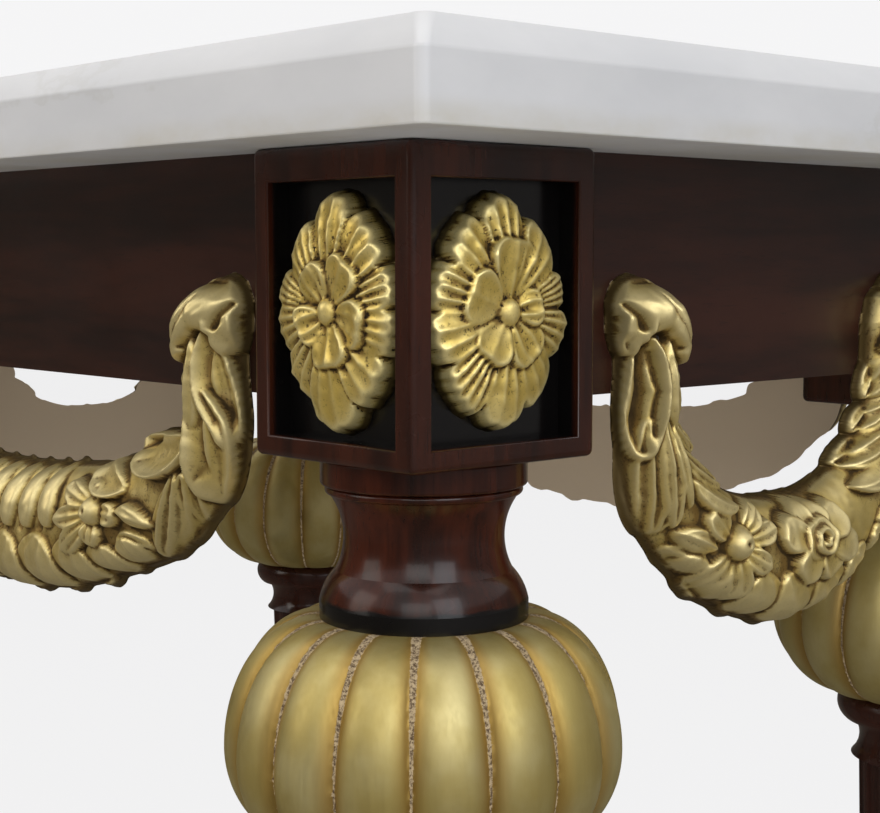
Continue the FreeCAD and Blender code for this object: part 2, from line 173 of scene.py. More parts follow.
def new_material(name):
    """An empty material with its tree, a Principled BSDF and the output joined up."""
    material = bpy.data.materials.new(name)
    material.use_nodes = True
    tree = material.node_tree
    tree.nodes.clear()
    shader = add(tree, "ShaderNodeBsdfPrincipled")
    add(tree, "ShaderNodeOutputMaterial", {"Surface": shader.outputs[0]})
    return material, tree, shader


def relief(tree, height, strength, distance):
    """A bump from a height."""
    inputs = {"Height": height, "Strength": strength, "Distance": distance}
    return add(tree, "ShaderNodeBump", inputs).outputs[0]


print("node helpers ready")

# %% [markdown]
# ## Shared effects
# Two effects turn up in several finishes. Gilding wears to a paler gold on what stands proud, with a painted
# highlight there too, and gathers brown toning and painted shade in what is hollow, almost black in the
# deepest cuts. Wood figure is long streaks with fine pores. Both could be copied into each material, but as
# node groups they are built once and take each finish's own values.
# The groups give only colours and values: the shader itself stays in each material.


# %% Group: worn gilding
def make_gilding_group():
    """Gold leaf over a warm ground, paler with a painted highlight on ridges and brown with painted shade in
    hollows: colour, roughness and a fine height.
    """
    sockets_in = (
        ("Vector", "Vector"),
        ("Hollow", "Float"),
        ("Ridge", "Float"),
        ("Gold", "Color"),
        ("Pale", "Color"),
        ("Toning_and_shade", "Color"),
        ("Grime_and_shade", "Color"),
        ("Speckle", "Float"),
    )
    sockets_out = (("Color", "Color"), ("Roughness", "Float"), ("Height", "Float"))
    tree, given, result = new_group("gilding_wear_and_shade", sockets_in, sockets_out)
    patches = cloud(tree, given["Vector"], scale=45.0, detail=4.0)
    grain = cloud(tree, given["Vector"], scale=420.0, detail=3.0, roughness=0.6)
    crumbs = cloud(tree, given["Vector"], scale=900.0, detail=2.0, roughness=0.7)
    paler = calc(tree, "MULTIPLY", ease(tree, patches, 0.45, 0.75), 0.45)
    # Ridge turns the gold paler: partly wear, partly a painted highlight on what stands proud.
    worn_and_highlit = calc(tree, "MAXIMUM", paler, calc(tree, "MULTIPLY", given["Ridge"], 0.8))
    gold = blend(tree, worn_and_highlit, given["Gold"], given["Pale"])
    # Hollow turns the gold brown: partly toning, partly painted shade in the hollows.
    uneven = calc(tree, "ADD", given["Hollow"], swing(tree, grain, 0.26))
    toned_and_shaded = blend(tree, ease(tree, uneven, 0.1, 0.65, 0.0, 0.85), gold, given["Toning_and_shade"])
    near_cut = ease(tree, given["Hollow"], 0.0, 0.4, 0.12, 1.0)
    crumb_share = calc(tree, "MULTIPLY", ease(tree, crumbs, 0.56, 0.63), given["Speckle"])
    dark = calc(tree, "MULTIPLY", crumb_share, near_cut)
    # The deepest hollows go almost black: painted shade. The crumbs near the cuts are dirt.
    deep = ease(tree, uneven, 0.7, 1.1, 0.0, 0.85)
    dirt_and_shade = calc(tree, "MAXIMUM", dark, deep)
    tree.links.new(blend(tree, dirt_and_shade, toned_and_shaded, given["Grime_and_shade"]), result["Color"])
    rough = ease(tree, patches, 0.3, 0.7, 0.36, 0.46)
    rough = calc(tree, "ADD", rough, calc(tree, "MULTIPLY", uneven, 0.22))
    tree.links.new(calc(tree, "ADD", rough, calc(tree, "MULTIPLY", dirt_and_shade, 0.25)), result["Roughness"])
    height = calc(tree, "ADD", calc(tree, "MULTIPLY", grain, 0.5), patches)
    tree.links.new(calc(tree, "SUBTRACT", height, dirt_and_shade), result["Height"])
    return tree


gilding = make_gilding_group()
print("group:", gilding.name)


# %% Group: wood figure
def make_figure_group():
    """Streaks of darker and redder wood with short pores, along the way the vector is stretched."""
    sockets_in = (("Vector", "Vector"), ("Dark", "Color"), ("Light", "Color"))
    tree, given, result = new_group("wood_figure", sockets_in, (("Color", "Color"), ("Height", "Float")))
    broad = cloud(tree, given["Vector"], scale=1.0, detail=5.0, roughness=0.55)
    fine = cloud(tree, given["Vector"], scale=6.0, detail=4.0, roughness=0.6)
    pores = cloud(tree, given["Vector"], scale=28.0, detail=2.0, roughness=0.5)
    streak = calc(tree, "ADD", calc(tree, "MULTIPLY", broad, 0.65), calc(tree, "MULTIPLY", fine, 0.35))
    wood = blend(tree, ease(tree, streak, 0.34, 0.66), given["Dark"], given["Light"])
    pore = ease(tree, pores, 0.62, 0.72, 0.0, 0.5)
    tree.links.new(blend(tree, pore, wood, given["Dark"]), result["Color"])
    tree.links.new(calc(tree, "SUBTRACT", calc(tree, "MULTIPLY", fine, 0.3), pore), result["Height"])
    return tree


wood_figure = make_figure_group()
print("group:", wood_figure.name)

# %% [markdown]
# ## Marble
# The slab is white marble with a grey cast, clouded more than veined, and a little soiled along its
# lower edge, where hands take hold of it. A picture of marble would show seams at the corners. Noise
# runs on through the stone: two scales of it give the clouds, and a thin band of a third one gives
# a few hair veins.

# %% Marble finish
MARBLE_GREY = (0.57, 0.57, 0.585, 1.0)
MARBLE_WHITE = (0.66, 0.655, 0.665, 1.0)
MARBLE_MOTTLE = (0.6, 0.6, 0.61, 1.0)
MARBLE_VEIN = (0.5, 0.49, 0.47, 1.0)
SOILED = (0.5, 0.46, 0.37, 1.0)
SOIL_FULL, SOIL_END = 1.0 * MM, 9.0 * MM
slab_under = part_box("marble_top")[0].z


def make_marble():
    """Polished white marble with soft grey clouds."""
    material, tree, shader = new_material("marble_finish")
    where = stretched(tree, (1.0, 1.0, 2.2))
    clouds = cloud(tree, where, scale=5.0, detail=6.0, roughness=0.6)
    mottle = cloud(tree, where, scale=55.0, detail=4.0, roughness=0.6)
    vein_field = cloud(tree, where, scale=3.2, detail=7.0, roughness=0.62)
    vein = calc(tree, "ABSOLUTE", calc(tree, "SUBTRACT", vein_field, 0.5))
    vein_share = ease(tree, vein, 0.0, 0.014, 0.3, 0.0)
    body = blend(tree, ease(tree, clouds, 0.35, 0.68), MARBLE_GREY, MARBLE_WHITE)
    body = blend(tree, ease(tree, mottle, 0.4, 0.7, 0.0, 0.22), body, MARBLE_MOTTLE)
    colour = blend(tree, vein_share, body, MARBLE_VEIN)
    above = calc(tree, "SUBTRACT", axis_places(tree)[2], slab_under)
    low_edge = ease(tree, above, SOIL_FULL, SOIL_END, 1.0, 0.0)
    smudges = cloud(tree, where, scale=16.0, detail=5.0, roughness=0.65)
    handled = calc(tree, "MULTIPLY", low_edge, ease(tree, smudges, 0.38, 0.68, 0.15, 0.6))
    colour = blend(tree, handled, colour, SOILED)
    rough = ease(tree, mottle, 0.3, 0.7, 0.28, 0.33)
    values = {"Base Color": colour, "Roughness": rough, "Subsurface Weight": 0.08}
    values["Subsurface Radius"] = (0.006, 0.006, 0.005)
    values["Normal"] = relief(tree, mottle, strength=0.03, distance=0.0004)
    fill(tree, shader, values)
    return material


marble = make_marble()
print("finish:", marble.name)

# %% [markdown]
# ## Dark polished mahogany
# The frame is dark red mahogany under a glossy polish. The grain follows each piece: along the frieze
# boards and up the blocks and turnings. The grounds of the sunk panels are stained black, and so is the
# narrow band where a neck meets its bulb. Faces could be given a black material of their own, but a mask
# by place needs no cuts in the mesh, and its edge can be as uneven as a brush leaves it.

# %% Measures of the frame that the stain follows
block_low, block_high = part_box("leg_block_front_right")
bulb_low, bulb_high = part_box("leg_bulb_front_right")
PANEL_STILE = 8.0 * MM
PANEL_TOP_RAIL = 11.0 * MM
PANEL_BOTTOM_RAIL = 7.0 * MM
PANEL_SLACK = 0.5 * MM
STAIN_START, STAIN_FULL = 1.2 * MM, 3.5 * MM
NECK_BAND = 7.3 * MM
BAND_RAGGED, BAND_FADE = 2.5 * MM, 1.2 * MM
FACE_SLACK = 0.3 * MM
block_width = block_high.x - block_low.x
leg_x = (block_low.x + block_high.x) / 2
leg_y = (block_low.y + block_high.y) / 2
print("block", round(block_width, 4), "leg axis", round(leg_x, 4), round(leg_y, 4))


# %% Masks by place
def sunk_share(tree):
    """1 on the grounds and inner walls of the sunk panels, 0 on the frame round them."""
    x, y, z = axis_places(tree)
    across = calc(tree, "ABSOLUTE", x)
    along = calc(tree, "ABSOLUTE", y)
    from_side = calc(tree, "SUBTRACT", block_high.x, across)
    from_front = calc(tree, "SUBTRACT", -block_low.y, along)
    depth = calc(tree, "MINIMUM", from_side, from_front)
    share = ease(tree, depth, STAIN_START, STAIN_FULL)
    edge = PANEL_STILE - PANEL_SLACK
    for value, limit in (
        (across, block_low.x + edge),
        (along, -block_high.y + edge),
        (z, block_low.z + PANEL_BOTTOM_RAIL - PANEL_SLACK),
    ):
        share = calc(tree, "MULTIPLY", share, calc(tree, "GREATER_THAN", value, limit))
    below_rail = calc(tree, "LESS_THAN", z, block_high.z - PANEL_TOP_RAIL + PANEL_SLACK)
    return calc(tree, "MULTIPLY", share, below_rail)


def band_share(tree):
    """1 on the black band at the foot of a neck, with an uneven brushed edge."""
    z = axis_places(tree)[2]
    brush = cloud(tree, object_place(tree), scale=90.0, detail=2.0)
    ragged = calc(tree, "ADD", z, calc(tree, "MULTIPLY", brush, BAND_RAGGED))
    top = bulb_high.z + NECK_BAND
    return ease(tree, ragged, top, top + BAND_FADE, 1.0, 0.0)


def inner_share(axis, limit):
    """A mask that is 1 on the inner face of the boards, which is left bare."""

    def mask(tree):
        place = calc(tree, "ABSOLUTE", axis_places(tree)[axis])
        return calc(tree, "LESS_THAN", place, limit + FACE_SLACK)

    return mask


inner_y = inner_share(1, -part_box("frieze_front")[1].y)
inner_x = inner_share(0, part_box("frieze_right")[0].x)
print("masks ready")

# %% Mahogany finishes
WOOD_DARK = (0.011, 0.0036, 0.0024, 1.0)
WOOD_LIGHT = (0.034, 0.0088, 0.0045, 1.0)
WOOD_RED = (0.046, 0.0105, 0.0042, 1.0)
TURNED_RED = (0.058, 0.0115, 0.004, 1.0)
BARE_WOOD = (0.6, 0.48, 0.34, 1.0)
STAIN_BLACK = (0.003, 0.0025, 0.0025, 1.0)
LONG, CROSS = 4.0, 34.0
UPRIGHT = (CROSS, CROSS, LONG)


def make_mahogany(
    name, scale, black=None, bare=None, light=WOOD_LIGHT, gloss=0.16, shine=0.3, coat=(0.12, 0.2)
):
    """Polished mahogany; scale stretches the grain, black and bare mask stained and unfinished parts."""
    material, tree, shader = new_material(name)
    where = stretched(tree, scale)
    figure = use_group(tree, wood_figure, {"Vector": where, "Dark": WOOD_DARK, "Light": light})
    colour = figure["Color"]
    smear = cloud(tree, object_place(tree), scale=18.0, detail=4.0)
    if black:
        colour = blend(tree, black(tree), colour, STAIN_BLACK)
    if bare:
        colour = blend(tree, bare(tree), colour, BARE_WOOD)
    values = {"Base Color": colour, "Roughness": ease(tree, smear, 0.3, 0.75, gloss, gloss + 0.14)}
    values["Specular IOR Level"] = shine
    values["Coat Weight"], values["Coat Roughness"] = coat
    values["Normal"] = relief(tree, figure["Height"], strength=0.05, distance=0.0004)
    fill(tree, shader, values)
    return material


board_along_x = make_mahogany("mahogany_board_long", (LONG, CROSS, CROSS), bare=inner_y, gloss=0.3)
board_along_y = make_mahogany("mahogany_board_short", (CROSS, LONG, CROSS), bare=inner_x, gloss=0.3)
post = make_mahogany("mahogany_post", UPRIGHT, sunk_share, light=WOOD_RED)
turning = make_mahogany(
    "mahogany_turning", UPRIGHT, band_share, light=TURNED_RED, gloss=0.17, shine=0.22, coat=(0.16, 0.1)
)
shaft = make_mahogany("mahogany_shaft", UPRIGHT)
print("finishes:", [m.name for m in (board_along_x, board_along_y, post, turning, shaft)])

# %% [markdown]
# ## Gilding
# The carvings are gilded and toned. The swags have a soft old gold, the flowers in the panels a yellower
# leaf with black crumbs in the cuts, and the bulbs a brushed satin gold with sanded grooves.
# The render could look for hollows by itself, but the carver knows best where the cuts are. So the
# carvings carry three values on their points: hollow says where brown toning and painted shade gather, ridge
# where the gold wears paler under a painted highlight, and the third how near the board a point lies, for a
# dark band of painted shade on the walls there and bare wood behind.

# %% Gilt carving finishes
# Dark bronze for the walls near the board: painted shade.
SHADE_BRONZE = (0.085, 0.052, 0.018, 1.0)
DARK_SHADE_BRONZE = (0.045, 0.027, 0.01, 1.0)
# Brown for the hollows: partly real toning, partly painted shade.
BROWN_TONING_AND_SHADE = (0.16, 0.085, 0.018, 1.0)
# Near black, for the crumbs in the cuts and for painted shade in the deepest hollows.
GRIME_AND_SHADE = (0.02, 0.011, 0.006, 1.0)
BEHIND = 0.998


def make_gilt(name, gold, pale, shaded_foot, speckle, metal, toning_and_shade=1.0):
    """Gold leaf on carving, toned and with painted shade in the hollows, a dark band of painted shade on the
    walls near the board, and bare wood behind.
    """
    material, tree, shader = new_material(name)
    given = {
        "Vector": object_place(tree),
        "Hollow": calc(tree, "MULTIPLY", attribute(tree, "hollow"), toning_and_shade),
        "Ridge": attribute(tree, "ridge"),
        "Gold": gold,
        "Pale": pale,
        "Toning_and_shade": BROWN_TONING_AND_SHADE,
        "Grime_and_shade": GRIME_AND_SHADE,
        "Speckle": speckle,
    }
    leaf = use_group(tree, gilding, given)
    near_board = attribute(tree, "near_board")
    # Near the board the walls turn to the dark bronze: painted shade.
    colour = blend(tree, ease(tree, near_board, 0.35, 0.75, 0.0, 0.9), leaf["Color"], shaded_foot)
    behind = calc(tree, "GREATER_THAN", near_board, BEHIND)
    colour = blend(tree, behind, colour, BARE_WOOD)
    leaf_share = calc(tree, "MULTIPLY", calc(tree, "SUBTRACT", 1.0, behind), metal)
    values = {"Base Color": colour, "Roughness": leaf["Roughness"], "Metallic": leaf_share}
    values["Normal"] = relief(tree, leaf["Height"], strength=0.12, distance=0.0005)
    fill(tree, shader, values)
    return material


swag_gilt = make_gilt(
    "swag_gilding", gold=(0.54, 0.405, 0.125, 1.0), pale=(0.73, 0.61, 0.31, 1.0),
    shaded_foot=SHADE_BRONZE, speckle=0.5, metal=0.7,
)
# The flowers take more of the brown toning and painted shade in their hollows.
flower_gilt = make_gilt(
    "flower_gilding", gold=(0.645, 0.47, 0.115, 1.0), pale=(0.9, 0.77, 0.37, 1.0),
    shaded_foot=DARK_SHADE_BRONZE, speckle=1.0, metal=0.7, toning_and_shade=1.15,
)
print("finishes:", swag_gilt.name, flower_gilt.name)


# %% Bulb finish
PAINT_EDGE = 31.0 * MM
PAINT_FADE = 0.6 * MM
DRIP = 3.0 * MM
SATIN_GOLD = (0.43, 0.335, 0.11, 1.0)
PALE_GOLD = (0.53, 0.45, 0.21, 1.0)
# Amber for the sides of the lobes: partly toning, partly painted shade where they turn away.
AMBER_TONE_AND_SHADE = (0.34, 0.19, 0.03, 1.0)
OLD_STAIN = (0.16, 0.12, 0.03, 1.0)
GRIT_DARK = (0.1, 0.06, 0.03, 1.0)
GRIT_PALE = (0.52, 0.4, 0.24, 1.0)


def from_leg_axis(tree):
    """Distance from the nearest leg's axis."""
    x, y, _ = axis_places(tree)
    off_x = calc(tree, "SUBTRACT", calc(tree, "ABSOLUTE", x), leg_x)
    off_y = calc(tree, "SUBTRACT", calc(tree, "ABSOLUTE", y), -leg_y)
    off = add(tree, "ShaderNodeCombineXYZ", {0: off_x, 1: off_y}).outputs[0]
    return add(tree, "ShaderNodeVectorMath", {0: off}, operation="LENGTH").outputs["Value"]


def make_bulb_gilt():
    """Brushed satin gold on the lobes with amber tone and painted shade on their sides, sandy grit in the
    grooves and black paint at the neck.
    """
    material, tree, shader = new_material("bulb_gilding")
    where = object_place(tree)
    edge = attribute(tree, "edge")
    patches = cloud(tree, where, scale=38.0, detail=4.0)
    strokes = stretched(tree, (700.0, 700.0, 60.0))
    brushed = cloud(tree, strokes, scale=1.0, detail=3.0, roughness=0.6)
    stains = cloud(tree, where, scale=26.0, detail=2.0)
    gold = blend(tree, ease(tree, patches, 0.35, 0.7), SATIN_GOLD, PALE_GOLD)
    # The sides of each lobe turn amber: partly toning, partly painted shade.
    side = calc(tree, "ADD", edge, swing(tree, patches, 0.35))
    gold = blend(tree, ease(tree, side, 0.4, 0.95, 0.0, 0.75), gold, AMBER_TONE_AND_SHADE)
    gold = blend(tree, ease(tree, stains, 0.62, 0.75, 0.0, 0.35), gold, OLD_STAIN)
    grains = cloud(tree, where, scale=900.0, detail=3.0, roughness=0.75)
    grit = blend(tree, ease(tree, grains, 0.38, 0.6), GRIT_DARK, GRIT_PALE)
    gritty = ease(tree, calc(tree, "ADD", edge, swing(tree, grains, 0.25)), 0.9, 0.96)
    drip = calc(tree, "MULTIPLY", cloud(tree, where, scale=120.0, detail=3.0), DRIP)
    paint_reach = calc(tree, "SUBTRACT", from_leg_axis(tree), drip)
    painted = ease(tree, paint_reach, PAINT_EDGE, PAINT_EDGE + PAINT_FADE, 1.0, 0.0)
    colour = blend(tree, painted, blend(tree, gritty, gold, grit), STAIN_BLACK)
    leaf_metal = ease(tree, gritty, 0.0, 1.0, 0.75, 0.1)
    metal = calc(tree, "MULTIPLY", leaf_metal, calc(tree, "SUBTRACT", 1.0, painted))
    satin = ease(tree, brushed, 0.3, 0.7, 0.45, 0.55)
    rough = calc(tree, "ADD", satin, calc(tree, "MULTIPLY", gritty, 0.4))
    values = {"Base Color": colour, "Metallic": metal, "Roughness": rough}
    sand = calc(tree, "MULTIPLY", grains, gritty)
    height = calc(tree, "ADD", calc(tree, "MULTIPLY", brushed, 0.12), sand)
    values["Normal"] = relief(tree, height, strength=0.35, distance=0.0006)
    fill(tree, shader, values)
    return material


bulb_gilt = make_bulb_gilt()
print("finish:", bulb_gilt.name)

# %% [markdown]
# ## Hidden materials
# The glue blocks, screws and pads sit inside the frame. They show only from below, and still get a
# finish of their own: pale raw softwood, dull steel and soft pale rubber. The softwood uses the wood group
# again, and one plain finish with a little mottling serves the other two.

# %% Finishes inside the frame
SOFTWOOD_DARK = (0.3, 0.19, 0.1, 1.0)
SOFTWOOD_PALE = (0.5, 0.36, 0.21, 1.0)


def make_raw_wood():
    """Unfinished softwood with streaks along its length."""
    material, tree, shader = new_material("raw_softwood")
    where = stretched(tree, (80.0, 80.0, 6.0))
    figure = use_group(tree, wood_figure, {"Vector": where, "Dark": SOFTWOOD_DARK, "Light": SOFTWOOD_PALE})
    values = {"Base Color": figure["Color"], "Roughness": 0.75}
    values["Normal"] = relief(tree, figure["Height"], strength=0.2, distance=0.0005)
    fill(tree, shader, values)
    return material


def make_plain(name, dark, light, scale, metallic, roughness):
    """A plain finish with a little variation."""
    material, tree, shader = new_material(name)
    mottle = cloud(tree, object_place(tree), scale=scale, detail=4.0)
    colour = blend(tree, ease(tree, mottle, 0.35, 0.65), dark, light)
    rough = ease(tree, mottle, 0.3, 0.7, roughness, roughness + 0.15)
    values = {"Base Color": colour, "Metallic": metallic, "Roughness": rough}
    values["Normal"] = relief(tree, mottle, strength=0.1, distance=0.0003)
    fill(tree, shader, values)
    return material


raw_wood = make_raw_wood()
steel = make_plain(
    "screw_steel", (0.3, 0.3, 0.3, 1.0), (0.48, 0.47, 0.46, 1.0), scale=300.0, metallic=1.0, roughness=0.35
)
rubber = make_plain(
    "pad_rubber", (0.46, 0.46, 0.43, 1.0), (0.56, 0.56, 0.53, 1.0), scale=200.0, metallic=0.0, roughness=0.5
)
print("finishes:", raw_wood.name, steel.name, rubber.name)

# %% [markdown]
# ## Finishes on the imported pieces
# The boards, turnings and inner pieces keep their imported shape, because it is already true to the real
# ones. Only their material changes, by the start of each name.

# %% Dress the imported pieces
finish_by_start = {
    "frieze_front": board_along_x,
    "frieze_back": board_along_x,
    "frieze_right": board_along_y,
    "frieze_left": board_along_y,
    "leg_neck": turning,
    "leg_shaft": shaft,
    "leg_foot": shaft,
    "glue_block": raw_wood,
    "swag_screws": steel,
    "marble_pads": rubber,
}
dressed = 0
for start, finish in finish_by_start.items():
    for name, node_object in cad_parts.items():
        if name.startswith(start):
            node_object.data.materials[0] = finish
            dressed += 1
print("dressed", dressed, "packed pieces")

# %% [markdown]
# ## New pieces
# A new piece is a mesh at the origin, with its place in its points. It rides on the table's one body,
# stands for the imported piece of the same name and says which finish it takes. Helpers keep this the same
# for every piece, and so do those for a box and for rounded edges.

# %% Helpers for new pieces
SAME_POINT = 0.001 * MM
QUAD = 4


def place_piece(name, mesh, material):
    """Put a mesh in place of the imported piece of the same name; only its large flat ends stay faceted."""
    mesh.materials.clear()
    mesh.materials.append(material)
    corners = np.empty(len(mesh.polygons), dtype=np.int32)
    mesh.polygons.foreach_get("loop_total", corners)
    mesh.polygons.foreach_set("use_smooth", corners <= QUAD)
    piece = bpy.data.objects.new("carved_" + name, mesh)
    bpy.context.scene.collection.objects.link(piece)
    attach(piece, "root")
    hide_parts(name)
    return piece


def to_mesh(shape, name):
    """Turn the faces of a bmesh outwards and make a mesh of it."""
    bmesh.ops.recalc_face_normals(shape, faces=shape.faces)
    mesh = bpy.data.meshes.new(name)
    shape.to_mesh(mesh)
    shape.free()
    return mesh


def merged_mesh(shape, name):
    """Merge the doubles of a bmesh and make a mesh of it."""
    bmesh.ops.remove_doubles(shape, verts=shape.verts, dist=SAME_POINT)
    return to_mesh(shape, name)


def box_shape(low, high):
    """A cube as a bmesh, fitted to a box."""
    shape = bmesh.new()
    bmesh.ops.create_cube(shape, size=1.0)
    bmesh.ops.scale(shape, vec=high - low, verts=shape.verts)
    bmesh.ops.translate(shape, vec=(low + high) / 2, verts=shape.verts)
    return shape


def round_edges(shape, edges, size, segments):
    """Round some edges of a bmesh."""
    bmesh.ops.bevel(
        shape, geom=edges, offset=size, offset_type="OFFSET", segments=segments,
        profile=0.5, affect="EDGES", material=-1, clamp_overlap=True,
    )


print("piece helpers ready")

# %% [markdown]
# ## Corner blocks
# Each leg starts in a square block with a sunk panel in both outer faces and soft, handled edges.
# Booleans could sink the panels, but they leave edges that are hard to round. Here a cube is cut along
# the lines of the stiles and rails, the middle field of both outer faces is pushed in, and then the outer
# edges and the mouths of the panels are rounded. The other corners are turned copies.

# %% Model the corner blocks
BLOCK_EDGE = 2.4 * MM
PANEL_MOUTH = 0.8 * MM
PANEL_SINK = 9.0 * MM
BENT, CREASED = 1.0, 0.9
FACING = 0.9
corner_signs = {"front_right": (1, -1), "back_right": (1, 1), "back_left": (-1, 1), "front_left": (-1, -1)}
corner_names = tuple(corner_signs)


def turn_leg(mesh, quarters, x, y):
    """Turn a mesh of the front right leg about the leg's axis, and set that axis down at x and y."""
    mesh.transform(Matrix.Translation((-leg_x, -leg_y, 0.0)))
    mesh.transform(Matrix.Rotation(math.radians(90 * quarters), 4, "Z"))
    mesh.transform(Matrix.Translation((x, y, 0.0)))


def to_corner(mesh, index):
    """A copy of a mesh of the front right leg for another corner."""
    sign_x, sign_y = corner_signs[corner_names[index]]
    copy = mesh.copy()
    turn_leg(copy, index, sign_x * leg_x, -sign_y * leg_y)
    return copy


def outer_count(vert):
    """How many of a point's coordinates lie on the outside of the block."""
    pairs = zip(vert.co, block_low, block_high)
    return sum(min(abs(value - low), abs(value - high)) < SAME_POINT for value, low, high in pairs)


def make_block():
    """The front right block with a sunk panel in its front and its right face."""
    shape = box_shape(block_low, block_high)
    low = block_low + Vector((PANEL_STILE, PANEL_STILE, PANEL_BOTTOM_RAIL))
    high = block_high - Vector((PANEL_STILE, PANEL_STILE, PANEL_TOP_RAIL))
    for axis in range(3):
        direction = [float(axis == other) for other in range(3)]
        for point in (low, high):
            whole = shape.verts[:] + shape.edges[:] + shape.faces[:]
            bmesh.ops.bisect_plane(shape, geom=whole, plane_co=point, plane_no=direction)
    fields = []
    for face in shape.faces:
        middle = face.calc_center_median()
        inside = [low[axis] < middle[axis] < high[axis] for axis in range(3)]
        on_front = inside[0] and face.normal.y < -FACING
        on_right = inside[1] and face.normal.x > FACING
        if inside[2] and (on_front or on_right):
            fields.append(face)
    for face in bmesh.ops.extrude_discrete_faces(shape, faces=fields)["faces"]:
        bmesh.ops.translate(shape, vec=face.normal * -PANEL_SINK, verts=face.verts)
    bent = [edge for edge in shape.edges if edge.calc_face_angle(0.0) > BENT]
    outside = [edge for edge in bent if min(map(outer_count, edge.verts)) > 1]
    mouths = [edge for edge in bent if all(outer_count(vert) == 1 for vert in edge.verts)]
    for edges, size in ((mouths, PANEL_MOUTH), (outside, BLOCK_EDGE)):
        round_edges(shape, edges, size, segments=4)
    for edge in shape.edges:
        edge.smooth = edge.calc_face_angle(0.0) < CREASED
    return merged_mesh(shape, "leg_block")


corner_block = make_block()
for index, corner in enumerate(corner_names):
    block_piece = place_piece("leg_block_" + corner, to_corner(corner_block, index), post)
    block_piece.modifiers.new("even shading", "WEIGHTED_NORMAL").keep_sharp = True
print("block:", len(corner_block.polygons), "faces")

# %% [markdown]
# ## Marble slab
# The slab has a broad bevel along its upper edge. One bevel on a cube would be flat, and the real one is
# slightly rounded. So the top is inset twice and the outer rings are pushed down. The corners are then
# rounded from top to bottom, and a last small bevel softens every arris as hand polishing does.

# %% Model the slab
SLAB_CORNER = 3.5 * MM
SLAB_BEVEL_HEIGHT = 9.7 * MM
SLAB_BEVEL_INSETS = (2.6 * MM, 5.4 * MM)
SLAB_ARRIS = 0.7 * MM
SHARP = math.radians(25)
TOP_SLACK = 0.01 * MM


def make_slab():
    """The slab with a bevelled upper edge, rounded corners and soft arrises."""
    low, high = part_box("marble_top")
    slab = box_shape(low, high)
    top = max(slab.faces, key=lambda face: face.calc_center_median().z)
    for inset, lower in zip(SLAB_BEVEL_INSETS, (SLAB_BEVEL_HEIGHT, SLAB_BEVEL_HEIGHT / 2)):
        bmesh.ops.inset_region(slab, faces=[top], thickness=inset, use_even_offset=True)
        inner = set(top.verts)
        for vert in slab.verts:
            if vert.co.z > high.z - TOP_SLACK and vert not in inner:
                vert.co.z -= lower
    corners = [edge for edge in slab.edges if abs(edge.verts[0].co.z - edge.verts[1].co.z) > MM]
    round_edges(slab, corners, SLAB_CORNER, segments=8)
    sharp = [edge for edge in slab.edges if edge.calc_face_angle(0.0) > SHARP]
    round_edges(slab, sharp, SLAB_ARRIS, segments=3)
    return merged_mesh(slab, "marble_top")


slab_piece = place_piece("marble_top", make_slab(), marble)
slab_piece.modifiers.new("even shading", "WEIGHTED_NORMAL").keep_sharp = False
print("slab:", len(slab_piece.data.polygons), "faces")

# %% [markdown]
# ## Gadrooned bulbs
# Sixteen lobes run down each bulb, with sanded grooves between them. A turned ball could be bent by a wave,
# but its points would not meet the grooves. Here one lobe is a bent grid with columns of its own for the
# groove; a spin copies it round the axis, and the doubles are merged. Each point carries how near it lies
# to a groove, for the grit and for the amber tone with painted shade on the lobe's sides beside it.

# %% Model the bulbs
LOBES = 16
BULB_SEAT = 36.0 * MM
COLLAR_RADIUS = 33.0 * MM
BULB_RISE = 41.5 * MM
LOBE_DEPTH = 4.2 * MM
LOBE_ROUND = 0.97
GROOVE_HALF_TOP = 1.9 * MM
GROOVE_HALF_LOW = 0.5 * MM
GRIT_HEIGHT = 0.7 * MM
LOBE_COLUMNS = 30
GROOVE_COLUMNS = 3
LOBE_ROWS = 96
# How near a groove a point lies is 0 in the middle of a lobe, this at its edge, and 1 in the groove.
LOBE_EDGE = 0.9
GROOVE_RUN = 2.5
SEAM = 0.999
END_DEPTH = 0.35
GRIT_SCALE = 1400.0
GRIT_SHIFT = 50.0
WELD = 0.02 * MM

bulb_radius = (bulb_high.x - bulb_low.x) / 2
widest_z = bulb_high.z - BULB_RISE


